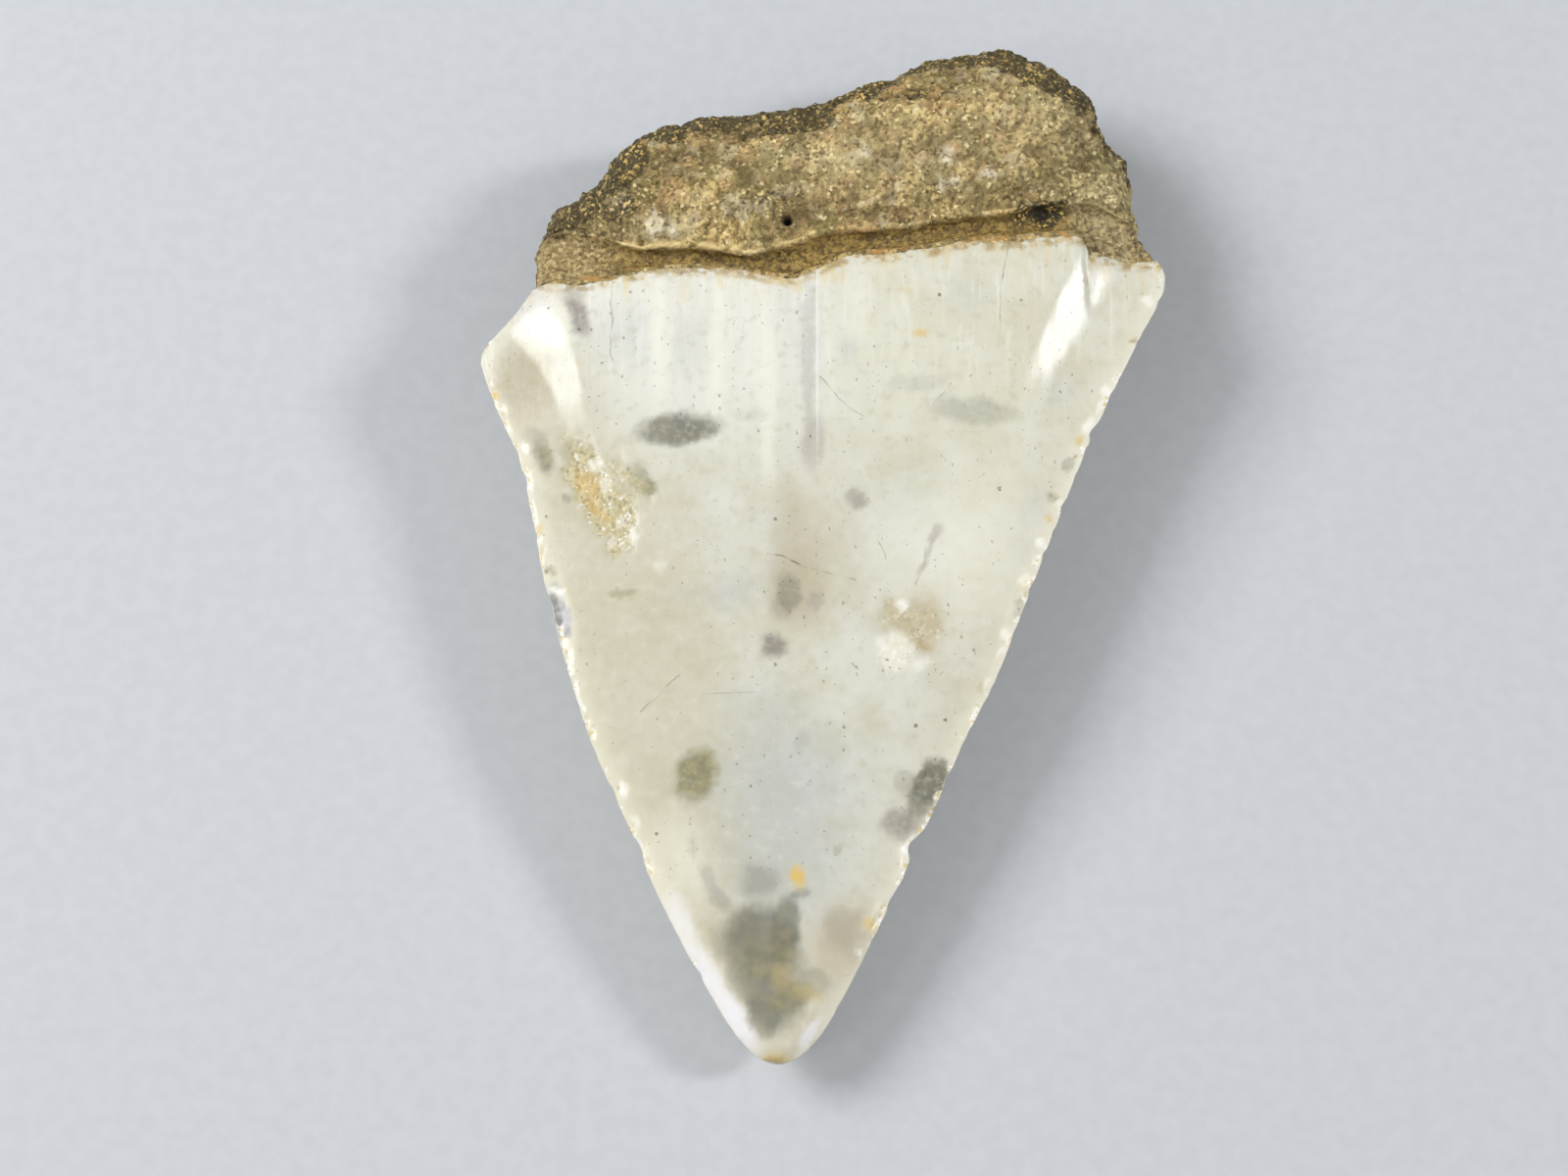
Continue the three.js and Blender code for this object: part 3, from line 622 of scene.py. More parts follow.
class Wire:
    """A value, colour or vector in a material's nodes, with Python's own arithmetic."""

    def __init__(self, tree, socket=None):
        self.tree = tree
        self.socket = socket

    def node(self, kind, sockets, output=0, **settings):
        """Add a node: first its settings, then the values and links of its sockets."""
        made = self.tree.nodes.new(kind)
        for name, value in settings.items():
            setattr(made, name, value)
        for key, value in sockets.items():
            if isinstance(value, Wire):
                self.tree.links.new(value.socket, made.inputs[key])
            else:
                made.inputs[key].default_value = value
        return Wire(self.tree, made.outputs[output])

    def maths(self, operation, *values):
        """One step of arithmetic on values."""
        return self.node("ShaderNodeMath", dict(enumerate(values)), operation=operation)

    def __add__(self, other):
        return self.maths("ADD", self, other)

    def __sub__(self, other):
        return self.maths("SUBTRACT", self, other)

    def __rsub__(self, other):
        return self.maths("SUBTRACT", other, self)

    def __mul__(self, other):
        return self.maths("MULTIPLY", self, other)

    def __truediv__(self, other):
        return self.maths("DIVIDE", self, other)

    __radd__ = __add__
    __rmul__ = __mul__

    def between(self, low, high):
        """0 up to low, 1 from high on, and smooth between."""
        sockets = {"Value": self, "From Min": low, "From Max": high}
        return self.node("ShaderNodeMapRange", sockets, interpolation_type="SMOOTHSTEP")

    def blend(self, under, over):
        """With this value as the amount, one colour laid over another.

        A Mix node's sockets 6 and 7 are its two colours, and its output 2 is their mix.
        """
        return self.node("ShaderNodeMix", {0: self, 6: under, 7: over}, output=2, data_type="RGBA")

    def scaled(self, x, y, z):
        """A place with each part multiplied, so that patterns stretch where it shrinks."""
        return self.node("ShaderNodeVectorMath", {0: self, 1: (x, y, z)}, operation="MULTIPLY")

    def noise(self, size, detail, output=0):
        """Noise about 0.5, with features of about that size in millimetres."""
        sockets = {"Vector": self, "Scale": 1 / size, "Detail": detail}
        return self.node("ShaderNodeTexNoise", sockets, output=output)

    def frayed(self, size, detail, amount):
        """The place shaken by noise, to fray what is drawn by it."""
        shift = self.noise(size, detail, output="Color")
        sockets = {0: shift, 1: (amount, amount, amount), 2: self}
        return self.node("ShaderNodeVectorMath", sockets, operation="MULTIPLY_ADD")

    def cells(self, size, output="Color"):
        """Random cells of about that size: a colour for each, or the Distance to its middle."""
        sockets = {"Vector": self, "Scale": 1 / size}
        return self.node("ShaderNodeTexVoronoi", sockets, output=output)

    def parts(self):
        """The three parts of a place or a colour."""
        return [self.node("ShaderNodeSeparateXYZ", {0: self}, output=axis) for axis in range(3)]

    def stored(self, name):
        """A value that the mesh carries at its points."""
        return self.node("ShaderNodeAttribute", {}, output="Fac", attribute_name=name)


def tone(red, green, blue):
    """A colour from its red, green and blue as a screen shows them, up to 255."""
    return tuple(((part / 255 + 0.055) / 1.055) ** 2.4 for part in (red, green, blue)) + (1.0,)


def new_finish(name):
    """A new material, its shader, and the place on the tooth in millimetres."""
    material = bpy.data.materials.new(name)
    material.use_nodes = True
    tree = material.node_tree
    tree.nodes.clear()
    output = tree.nodes.new("ShaderNodeOutputMaterial")
    shader = tree.nodes.new("ShaderNodeBsdfPrincipled")
    tree.links.new(shader.outputs[0], output.inputs["Surface"])
    metres = Wire(tree).node("ShaderNodeTexCoord", {}, output="Object")
    sockets = {0: metres, 1: (1 / MM, 1 / MM, 1 / MM), 2: tuple(PLAN_MIDDLE)}
    return material, shader, metres.node("ShaderNodeVectorMath", sockets, operation="MULTIPLY_ADD")


def give(shader, sockets):
    """Set a shader's sockets to values or wires."""
    for name, value in sockets.items():
        if isinstance(value, Wire):
            value.tree.links.new(value.socket, shader.inputs[name])
        else:
            shader.inputs[name].default_value = value


def specks(place, size, share, radius, stretch=1.0):
    """Specks in a share of the cells of that size, with a radius as a part of a cell."""
    stretched = place.scaled(1, 1 / stretch, 1)
    distance = stretched.cells(size, output="Distance")
    chance = stretched.cells(size).parts()[0]
    reach = radius * (0.4 + chance * (0.6 / share))
    return (1 - (distance / reach).between(0.6, 1.15)) * (1 - chance.between(share - 0.02, share))


def hairline(plan, start, end, width):
    """A thin straight line from start to end, by its distance from a place in plan."""
    kind = "ShaderNodeVectorMath"
    run = Vector(end) - Vector(start)
    towards = run / run.length_squared
    out = plan.node(kind, {0: plan, 1: (*start, 0)}, operation="SUBTRACT")
    share = out.node(kind, {0: out, 1: (*towards, 0)}, output=1, operation="DOT_PRODUCT")
    inside = share.node("ShaderNodeMath", {0: share, 1: 0}, operation="ADD", use_clamp=True)
    nearest = inside.node(kind, {0: (*run, 0), "Scale": inside}, operation="SCALE")
    distance = out.node(kind, {0: out, 1: nearest}, output=1, operation="DISTANCE")
    return 1 - distance.between(0.3 * width, width)


def strongest(first, *others):
    """Several marks together, as the strongest of them at each place."""
    for other in others:
        first = first.maths("MAXIMUM", first, other)
    return first


enamel, shader, place = new_finish("enamel")
x, y = place.parts()[:2]
labial_only = place.stored("labial").between(0.4, 0.6)
spalled = place.stored("spall")
edge = place.stored("crumb")
chalk_and_glints = place.stored("chalk_and_glints")

# Milky enamel drifts between cream, ivory and a cool grey, and is whitest up by the root.
cloud = place.noise(1.7, 4.0)
drift = (place.noise(5.5, 3.0) * 0.6 + cloud * 0.4).between(0.36, 0.64)
colour = drift.blend(tone(205, 200, 178), tone(219, 217, 204))
creamy = (1 - (x + y * 0.28).between(-9.5, -4.0)) * (1 - y.between(3.0, 9.0))
warm_edge = (x + y * -0.52).between(8.0, 11.0) * (1 - y.between(4.0, 9.0))
colour = strongest(creamy * 0.6, warm_edge * 0.3).blend(colour, tone(199, 190, 160))
right_of_worn = (x + y * 0.3).between(-11.0, -6.0)
white = y.between(-1.0, 7.0) * right_of_worn * (1 - x.between(9.0, 14.0) * 0.45)
snow = x.between(-2.0, 3.5).blend(tone(235, 234, 224), tone(222, 218, 195))
snow = (cloud.between(0.3, 0.7) * 0.5).blend(snow, tone(232, 230, 216))
colour = (white * 0.75).blend(colour, snow)
colour = (place.stored("blue") * 0.9).blend(colour, tone(190, 192, 188))
fine = place.noise(0.5, 4.0)
colour = ((fine - 0.5).between(0.0, 0.25) * 0.3).blend(colour, tone(226, 222, 206))
colour = ((0.5 - fine).between(0.0, 0.25) * 0.35).blend(colour, tone(190, 184, 158))
# Painted glow: the edges are painted paler, as light coming through the thin enamel.
painted_glow = place.stored("painted_glow")
colour = (painted_glow * 0.45).blend(colour, tone(242, 236, 212))

# Long faint streaks follow the growth of the crown, yellowed where they leave the root.
streaks = place.scaled(1, 0.05, 1).noise(0.3, 3.0)
crown = y.between(1.5, 11.0)
colour = ((0.5 - streaks).between(0.02, 0.2) * crown * 0.25).blend(colour, tone(212, 207, 188))
colour = ((streaks - 0.5).between(0.03, 0.2) * crown * 0.3).blend(colour, tone(246, 244, 234))
drips = place.scaled(1, 0.16, 1).noise(0.4, 3.0).between(0.5, 0.7) * place.stored("margin")
colour = (drips * 0.7).blend(colour, tone(224, 206, 156))
flecks = place.scaled(0.7, 1, 1).noise(0.3, 5.0).between(0.42, 0.62)
crust = place.stored("margin").between(0.8, 1.0) * flecks
colour = (crust * 0.65).blend(colour, tone(206, 178, 118))
fringe = place.stored("margin").between(0.86, 1.0) * place.noise(0.5, 5.0).between(0.44, 0.6)
colour = (fringe * labial_only * 0.7).blend(colour, tone(158, 132, 80))
shadow = x.between(-2.9, -2.1) * (1 - x.between(-1.2, 0.6))
shadow = shadow * y.between(-5.6, -4.0) * (1 - y.between(-3.5, 3.0))
colour = (shadow * labial_only * 0.45).blend(colour, tone(178, 166, 142))

# Stains that soaked in from the sediment, each with a slow drift of tint inside it, with painted
# highlights and glints laid among them.
mottle = 1 - (1 - place.noise(0.28, 5.0).between(0.25, 0.55)) * y.between(-18.5, -14.0) * 0.3
tint = place.noise(0.6, 4.0).between(0.35, 0.65)
soaked = {
    "brown": tone(180, 158, 114),
    "mauve": tone(142, 133, 124),
    "smoke": tint.blend(tone(117, 117, 104), tone(132, 127, 107)),
    "olive": tint.blend(tone(124, 120, 84), tone(156, 146, 100)),
    "glass": tint.blend(tone(128, 127, 128), tone(176, 175, 176)),
}
# Pale cream patches, and painted highlights on the crown's folds and the left shoulder.
colour = place.stored("cream_and_sheen").blend(colour, tone(246, 243, 226))
# Painted highlights on the tip's bevels and the left shoulder, as light shining off them.
colour = place.stored("painted_sheen").blend(colour, tone(243, 240, 243))
for kind, stain_tone in soaked.items():
    colour = (place.stored(kind) * mottle).blend(colour, stain_tone)
colour = place.stored("amber").blend(colour, tone(222, 192, 112))
# Chalky white chips, and painted glints where light shines off the edges.
colour = (chalk_and_glints * (fine.between(0.3, 0.5) * 0.35 + 0.65)).blend(colour, tone(249, 246, 234))

# The sugary floor of the spalled patches, and crumbs along the cutting edges.
grain_tone, grain_glint, grain_dark = place.cells(0.14).parts()
clump = place.noise(0.45, 3.0)
sugar = grain_tone.blend(tone(192, 176, 126), tone(221, 210, 172))
sugar = (clump.between(0.45, 0.6) * 0.5).blend(sugar, tone(172, 162, 108))
sugar = (grain_dark.between(0.84, 0.92) * 0.55).blend(sugar, tone(122, 110, 70))
# Painted glints: the brightest grains of the sugary floor are painted near white, as light shining off
# them.
sugar = (grain_glint.between(0.86, 0.94) * 0.7).blend(sugar, tone(252, 250, 240))
colour = (spalled.between(0.1, 0.9) * 0.85).blend(colour, sugar)
colour = (place.stored("amber") * spalled * 0.6).blend(colour, tone(216, 174, 92))
colour = (chalk_and_glints * spalled * 0.6).blend(colour, tone(249, 246, 234))
chips = grain_tone.between(0.1, 0.6).blend(tone(222, 200, 142), tone(251, 248, 236))
colour = (edge.between(0.15, 0.6) * 0.85).blend(colour, chips)

# Pepper of dark specks, thicker in some areas.
dusty = place.noise(3.2, 2.0).between(0.35, 0.6)
ragged = place.frayed(0.12, 2.0, amount=0.2)
soiled = strongest(place.stored("smoke"), place.stored("olive"), place.stored("mauve"), spalled)
soiled = soiled.between(0.1, 0.5)
pepper = strongest(
    specks(ragged, 0.3, 0.25, 0.24, 1.6) * (dusty * 0.55 + soiled * 0.5 + 0.15),
    specks(ragged, 0.42, 0.45, 0.16, 0.45) * (dusty * 0.7 + soiled * 0.3 + 0.2),
    specks(ragged, 1.3, 0.4, 0.1) * 0.9,
)
colour = (pepper * (y.between(-21.0, -14.0) * 0.65 + 0.15)).blend(colour, tone(98, 90, 72))

# Cracks and scratches, kinked and broken: (start, end, half width, strength).
CRACKS = [
    ((-9.98, 11.6), (-9.86, 7.4), 0.05, 0.4), ((8.76, 13.4), (8.33, 11.0), 0.07, 0.6),
    ((8.33, 11.0), (8.15, 8.1), 0.05, 0.45), ((12.5, 13.4), (12.45, 11.5), 0.06, 0.5),
    ((12.45, 11.5), (12.25, 9.8), 0.04, 0.4), ((-0.22, 6.6), (1.18, 5.14), 0.045, 0.6),
    ((1.18, 5.14), (1.82, 4.8), 0.04, 0.4), ((5.93, 6.36), (5.05, 5.32), 0.04, 0.4),
    ((-2.59, -1.76), (-1.9, -1.85), 0.05, 0.7), ((-1.9, -1.85), (-0.83, -2.42), 0.06, 0.85),
    ((-0.54, -2.47), (1.41, -2.98), 0.035, 0.5), ((-6.64, -7.43), (-8.35, -9.12), 0.05, 0.5),
    ((-5.57, -8.33), (-3.07, -8.23), 0.035, 0.4), ((2.45, -1.07), (2.88, -2.01), 0.035, 0.45),
    ((-6.0, -14.83), (-5.91, -15.93), 0.035, 0.4), ((-5.21, -1.31), (-4.94, -0.79), 0.035, 0.4),
    ((4.77, -1.36), (4.26, -3.2), 0.05, 0.35), ((1.28, -6.9), (1.5, -7.15), 0.045, 0.6),
]
kinked = x + (place.noise(0.9, 4.0) - 0.5) * 0.42
plan = kinked.node("ShaderNodeCombineXYZ", {0: kinked, 1: y})
cracks = strongest(*(
    hairline(plan, start, end, width) * strength for start, end, width, strength in CRACKS
))
broken = place.scaled(1, 0.5, 1).noise(0.45, 3.0).between(0.38, 0.6)
cracks = cracks * labial_only * (broken * 0.75 + 0.2)

# Painted highlight: a faint bright line runs beside the low step down the middle, as light catching
# it.
from_step = x.maths("ABSOLUTE", x + 0.3)
painted_step_highlight = (1 - from_step.between(0.02, 0.09)) * y.between(1.5, 6.0) * labial_only
colour = (painted_step_highlight * 0.35).blend(colour, tone(252, 251, 246))
colour = cracks.blend(colour, tone(112, 98, 70))

# The face is finely scratched along its length, and dull where it is broken.
rubbed = place.scaled(1, 0.25, 1).noise(0.16, 3.0)
rough = 0.28 + cloud * 0.1 + spalled * 0.25 + chalk_and_glints * 0.15 + edge * 0.1
height = rubbed * (0.35 + crown * 0.5) + fine * 0.4 + grain_glint * (spalled + edge) * 1.8
give(shader, {
    "Base Color": colour,
    "Roughness": rough,
    "IOR": 1.5,
    "Subsurface Weight": 0.22,
    "Subsurface Radius": (1.0, 0.88, 0.72),
    "Subsurface Scale": 0.9 * MM,
    "Coat Weight": 0.3,
    "Coat Roughness": 0.25,
    "Normal": height.node("ShaderNodeBump", {"Height": height, "Distance": 0.014 * MM}),
})
blade.data.materials.append(enamel)
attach(blade, "root")
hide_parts("tooth")

# ---- The root ---------------------------------------------------------------------------------
# The porous bone-like base that held the tooth in the jaw: a tall lobe on the right, a worn one on
# the left, and on the labial face a bare band between the enamel and the root's rim. It is one
# with the blade's core, turned to a sandy brown phosphate, and the enamel ends on top of it.

# Each face of the root runs from the enamel's end over a bare band to the rim, and on to the
# root's outline at its far edge: (X, Y). Then by row, how far each face stands from the outline.
LABIAL_RIM = [
    (-13.75, 13.4), (-12.6, 14.2), (-11.3, 14.0), (-10.0, 13.5), (-8.5, 12.95), (-6.0, 12.9),
    (-3.4, 12.6), (-1.5, 13.1), (0.8, 13.7), (4.1, 13.95), (6.0, 14.4), (8.5, 14.7), (11.0, 15.2),
    (13.0, 15.3), (15.1, 14.7),
]
LINGUAL_RIM = [
    (-13.75, 13.4), (-11.5, 12.6), (-8.2, 11.1), (-4.3, 9.5), (-1.4, 8.6), (0.7, 8.4), (3.2, 9.0),
    (7.2, 10.9), (11.3, 13.0), (13.6, 14.2), (15.1, 14.7),
]
ROOT_TOP = [
    (-13.2, 15.5), (-12.9, 16.3), (-11.7, 16.9), (-10.4, 17.9), (-9.8, 19.0), (-9.1, 20.0),
    (-8.0, 20.8), (-6.2, 21.2), (-3.0, 21.5), (0.2, 22.1), (2.7, 23.2), (5.4, 24.35), (7.6, 24.85),
    (9.7, 24.85), (12.1, 23.4), (13.3, 22.2), (13.6, 20.4), (14.6, 18.8), (14.9, 17.6),
]
RIM_ROW = 1.16
ROOT_RISE = [(1, 1.8), (RIM_ROW, 2.3), (1.4, 3.4), (1.7, 4.1), (2, 4.1)]
ROOT_BELLY = [(1, 5.4), (RIM_ROW, 5.2), (1.32, 5.65), (1.55, 5.45), (1.75, 4.7), (2, 3.4)]
BAND_DEPTH = 0.4
NECK_DEPTH = 0.25
LIP_HEIGHT = 0.1
LIP_ROW = 0.018
GROOVE_DEPTH = 0.6
GROOVE_X = 1.4
TUCK_DEPTH = 0.3
TUCK_SHARE = 0.015

# Its first rows are hidden inside the enamel, and its last ones are the closest together.
HIDDEN_ROW = 0.955
BODY_ROW = RIM_ROW + 0.03
LAST_ROW = 1.9996
ROOT_COLUMNS = 360
ROOT_ROWS = np.concatenate([
    np.linspace(HIDDEN_ROW, 1.0, 5, endpoint=False),
    np.linspace(1.0, BODY_ROW, 32, endpoint=False),
    BODY_ROW + (LAST_ROW - BODY_ROW) * np.sin(np.linspace(0, math.pi / 2, 140)),
])
labial_across = crowded(ROOT_COLUMNS, 0.6)
lingual_across = labial_across[::2]


def root_face(across, enamel_end, rim):
    """A face of the root as grids of row, across, X and Y."""
    share = (across + 1) / 2
    ends = along(enamel_end, share)
    rims = along(rim, share)
    tops = along(ROOT_TOP, share)
    band = np.clip((ROOT_ROWS - 1) / (RIM_ROW - 1), 0, 1)[:, None, None]
    body = np.clip((ROOT_ROWS - RIM_ROW) / (2 - RIM_ROW), 0, 1)[:, None, None]
    plan = lerp(lerp(ends, rims, band), tops, body)
    hidden = ROOT_ROWS < 1
    plan[hidden] = blade_plan(ROOT_ROWS[hidden], across, enamel_end)
    row, side = np.meshgrid(ROOT_ROWS, across, indexing="ij")
    return row, side, plan[..., 0], plan[..., 1]


def round_side(across, power):
    """1 in the middle, falling to 0 at either side in a round shoulder."""
    return np.maximum(0, 1 - np.abs(across) ** power) ** 0.45


def lumps(x, y):
    """The broad lumps of both faces: (wave along X, wave along Y, phase, height)."""
    waves = [
        (5.3, 4.1, 0.6, 0.1), (3.1, -3.7, 2.1, 0.09), (-2.3, 2.9, 4.4, 0.06), (1.9, 1.7, 1.3, 0.04),
    ]
    return sum(height * np.sin(x / wave_x + y / wave_y + phase) * np.cos(y / wave_x - x / wave_y)
               for wave_x, wave_y, phase, height in waves)


def tucked_in(row, side, x):
    """The X of the hidden rows, drawn in from the edges, and how far they lie under the enamel."""
    hidden = ramp(1 - row, 0.0, 0.03)
    middle = (x[:, :1] + x[:, -1:]) / 2
    return lerp(x, middle, TUCK_SHARE * hidden), TUCK_DEPTH * hidden * (1 - side ** 6)


row, side, x, y = root_face(labial_across, LABIAL_ENAMEL, LABIAL_RIM)
beyond = np.clip((row - RIM_ROW) / (2 - RIM_ROW), 0, 1)
rounded = round_side(side, 5) * round_side(beyond, 3.2)
bulk = rounded * (through(ROOT_RISE, row) + lumps(x, y))
bare = ramp(row, 1.0, 1.1) * (1 - ramp(row, RIM_ROW - 0.03, RIM_ROW + 0.012))
rise = lerp(labial_rise(np.minimum(row, 1), side, x, y, 0), bulk, ramp(row, 1.0, 1.25))
rise -= rounded * bare * BAND_DEPTH
rise += LIP_HEIGHT * rounded * bump(row - RIM_ROW - LIP_ROW, 0.016)

# A pit by the rim, the worn left lobe and the full right one: (X, Y, half width, half length, depth).
HOLLOWS = [(10.0, 15.9, 0.9, 0.5, 0.5), (-12.5, 15.6, 2.6, 3.2, 0.9), (8.0, 19.5, 5.5, 4.0, -0.55)]
inner = 1 - np.maximum(np.abs(side), beyond) ** 6
rise -= inner * sum(depth * bump(np.hypot((x - at_x) / width, (y - at_y) / length), 1)
                    for at_x, at_y, width, length, depth in HOLLOWS)
x, tuck = tucked_in(row, side, x)
labial = np.stack([x, y, through(EDGE_HEIGHT, row) + rise - tuck], -1)

row, side, x, y = root_face(lingual_across, LINGUAL_ENAMEL, LINGUAL_RIM)
beyond = np.clip((row - RIM_ROW) / (2 - RIM_ROW), 0, 1)
rounded = round_side(side, 3.2) * round_side(beyond, 2.4)
groove = GROOVE_DEPTH * bump(x - GROOVE_X, 0.9) * ramp(y, 15.5, 22)
bulk = rounded * (through(ROOT_BELLY, row) + lumps(x, y) - groove)
neck = 1 - ramp(row, RIM_ROW - 0.05, RIM_ROW + 0.015)
drop = lerp(lingual_drop(np.minimum(row, 1), side), bulk, ramp(row, 1.0, 1.15))
drop -= rounded * neck * NECK_DEPTH
x, tuck = tucked_in(row, side, x)
lingual = np.stack([x, y, np.maximum(0, through(EDGE_HEIGHT, row) - (drop - tuck))], -1)

root = closed_skin("root", labial, lingual)


def skin_points(piece):
    """A piece's points in millimetres, and the way out of its surface at each."""
    flat = np.empty(3 * len(piece.data.vertices))
    piece.data.vertices.foreach_get("co", flat)
    outward = np.empty_like(flat)
    piece.data.vertex_normals.foreach_get("vector", outward)
    return flat.reshape(-1, 3) / MM + PLAN_MIDDLE, outward.reshape(-1, 3)


# The bone is weathered inwards into lumps, pores and sugary grains, most along its far edge.
points, outward = skin_points(root)
px, py, pz = points.T
row_of = np.concatenate([
    np.repeat(ROOT_ROWS, len(labial_across)), np.repeat(ROOT_ROWS, len(lingual_across) - 2),
])
bare_band = ramp(row_of, 0.99, 1.02) * (1 - ramp(row_of, RIM_ROW - 0.02, RIM_ROW + 0.01))
beyond_rim = ramp(row_of, RIM_ROW, RIM_ROW + 0.03)
far = ramp(row_of, 1.55, 1.97)
knobs = speckle(points, 1.1, 1)
grains = speckle(points, 0.4, 2)
soft_lumps = wander(points, 2.3, 3)
crevices = 1 - ramp(np.abs(wander(points, 1.5, 9)), 0.0, 0.12)
pores = ramp(wander(points, 0.42, 4), 0.25, 0.6)
ledges = wander(points * np.array([1, 4.0, 1]), 1.0, 5)
weathered = 0.12 + 0.3 * knobs + 0.2 * grains + 0.24 * soft_lumps + 0.14 * crevices
weathered += (0.1 + 0.25 * far) * pores
weathered = beyond_rim * np.maximum(0, weathered)
weathered += bare_band * (0.1 + 0.1 * ledges + 0.13 * grains + 0.08 * pores)

# A nutrient hole and a dark pit lie beside the rim on the labial face.
HOLE_AT = (-1.68, 14.26)
PIT_AT = (10.4, 14.95)
on_labial = pz > 5
hole = bump(np.hypot(px - HOLE_AT[0], py - HOLE_AT[1]), 0.2) * on_labial
ragged = 0.3 * wander(points, 0.5, 21)
pit = bump(np.hypot((px - PIT_AT[0] + ragged) / 1.6, py - PIT_AT[1] + ragged), 0.4) * on_labial
weathered += 0.9 * hole + 0.25 * pit

# The surface first swells where the box leaves room for it, so that wearing it keeps its size.
SWELLING = 0.35
low, high = (np.array(corner) / MM + PLAN_MIDDLE for corner in cad_box)
room = np.minimum(points - low, high - points).min(axis=1)
swollen = SWELLING * beyond_rim * ramp(room, 0, SWELLING)
moved = np.clip(points + outward * (swollen - weathered)[:, None], low, high)
root.data.vertices.foreach_set("co", ((moved - PLAN_MIDDLE) * MM).reshape(-1))
root.data.update()

# Sooty areas, mostly along the far edge, and paler ones, as for patches. Then white chips:
# (X, Y, half width).
DARK_AREAS = [
    (-11.3, 15.9, 2.8, 0.95, 42, 0.5, 0.9), (-9.5, 17.4, 0.9, 1.6, -35, 0.5, 1.0),
    (-9.0, 19.7, 1.8, 1.0, 45, 0.5, 0.95), (-5.6, 20.4, 3.2, 0.95, 4, 0.5, 0.85),
    (10.9, 22.5, 2.9, 1.5, -36, 0.35, 1.0), (0.5, 21.8, 3.5, 0.6, 12, 0.6, 0.45),
    (5.6, 23.8, 3.0, 0.6, 22, 0.6, 0.45), (13.6, 20.6, 0.6, 1.8, 5, 0.6, 0.6),
    (10.3, 15.0, 1.3, 0.5, 5, 0.5, 0.85), (-1.6, 14.7, 1.4, 0.9, 0, 0.7, 0.35),
    (-9.8, 15.0, 1.6, 1.0, 20, 0.7, 0.5), (3.4, 14.5, 3.0, 0.5, 3, 0.7, 0.35),
]
PALE_AREAS = [
    (-7.4, 13.9, 1.4, 0.55, 0, 0.7, 1.0), (0.6, 17.4, 1.4, 1.0, 0, 0.8, 0.7),
    (5.2, 17.0, 0.6, 0.9, 0, 0.8, 0.9), (13.2, 15.9, 1.1, 0.9, 0, 0.8, 0.5),
    (3.6, 17.6, 5.5, 2.0, 4, 0.8, 0.4), (9.3, 19.6, 2.6, 2.2, 0, 0.8, 0.45),
]
WHITE_CHIPS = [
    (5.8, 17.6, 0.4), (5.8, 16.1, 0.35), (7.85, 16.6, 0.35), (-8.0, 14.1, 0.45),
    (-7.2, 13.8, 0.3), (1.9, 17.6, 0.35),
]
places = points + shake(points, 0.5, 0.6, 22)
upper = ramp(pz, 2.5, 3.6)
dark = np.maximum.reduce([
    patches(places, DARK_AREAS),
    0.75 * ramp(wander(points, 2.2, 6) + 1.3 * far - 0.75, 0, 0.35),
    0.3 * ramp(wander(points, 1.4, 26), 0.15, 0.5),
])
dark_under = 0.5 * ramp(wander(points, 1.8, 7), 0.1, 0.5)
pale = 0.7 * ramp(wander(points, 0.8, 8), 0.3, 0.6)
# Painted shade: how deep each point is worn into a hollow, and where the hole and pit lie, to be
# painted dark.
carry(root, "painted_hollow_shade", weathered / 0.5)
carry(root, "bare_band", bare_band)
carry(root, "lip", bump(row_of - RIM_ROW - LIP_ROW, 0.02) * (1 - ramp(px, 8.5, 11)))
carry(root, "dark", dark * upper + dark_under * (1 - upper))
carry(root, "pale", np.maximum(pale, patches(places, PALE_AREAS)))
carry(root, "white", patches(places, [(*at, size, size, 0, 0.5, 0.85) for *at, size in WHITE_CHIPS]))
carry(root, "pit", np.clip(hole * 1.5 + 0.7 * pit, 0, 1))
carry(root, "by_enamel", bump(row_of - 1.0, 0.03))

phosphate, shader, place = new_finish("weathered_root")
x, y = place.parts()[:2]

# Sand of many tones, in ruddy, mossy and chalky lumps, greyer at both ends of the root.
grain_tone, grain_glint, grain_dark = place.cells(0.15).parts()
ruddy, chalky, mossy = place.frayed(0.3, 3.0, amount=0.4).cells(0.8).parts()
clump_tone = place.noise(0.35, 5.0)
drift = place.noise(2.6, 3.0)
sand = (clump_tone * 0.55 + drift * 0.25 + grain_tone * 0.2).between(0.34, 0.66)
colour = sand.blend(tone(122, 99, 52), tone(224, 195, 128))
colour = (ruddy.between(0.6, 0.8) * 0.4).blend(colour, tone(204, 158, 108))
colour = (mossy.between(0.55, 0.8) * 0.5).blend(colour, tone(128, 120, 70))
colour = (chalky.between(0.86, 0.95) * clump_tone).blend(colour, tone(222, 208, 168))
colour = ((1 - drift.between(0.34, 0.5)) * 0.5).blend(colour, tone(126, 116, 66))
left_sand = sand.blend(tone(96, 84, 48), tone(172, 152, 104))
colour = ((1 - x.between(-13.0, -8.0)) * 0.65).blend(colour, left_sand)
right_sand = sand.blend(tone(118, 106, 66), tone(196, 182, 130))
colour = (x.between(9.5, 12.5) * 0.6).blend(colour, right_sand)
colour = (place.stored("pale") * (clump_tone * 0.8 + 0.1)).blend(colour, tone(236, 216, 168))
colour = place.stored("white").blend(colour, tone(250, 238, 206))
drips = place.scaled(1, 0.35, 1).noise(0.22, 4.0)
low_down = 1 - y.between(14.5, 18.0)
colour = ((0.5 - drips).between(0.02, 0.16) * (low_down * 0.35 + 0.2)).blend(colour, tone(112, 98, 56))
colour = (grain_dark.between(0.78, 0.88) * 0.65).blend(colour, tone(100, 80, 40))
# Painted glints: a few grains are painted pale gold-white, as light shining off crystals.
colour = (grain_glint.between(0.91, 0.96) * 0.7).blend(colour, tone(252, 232, 172))
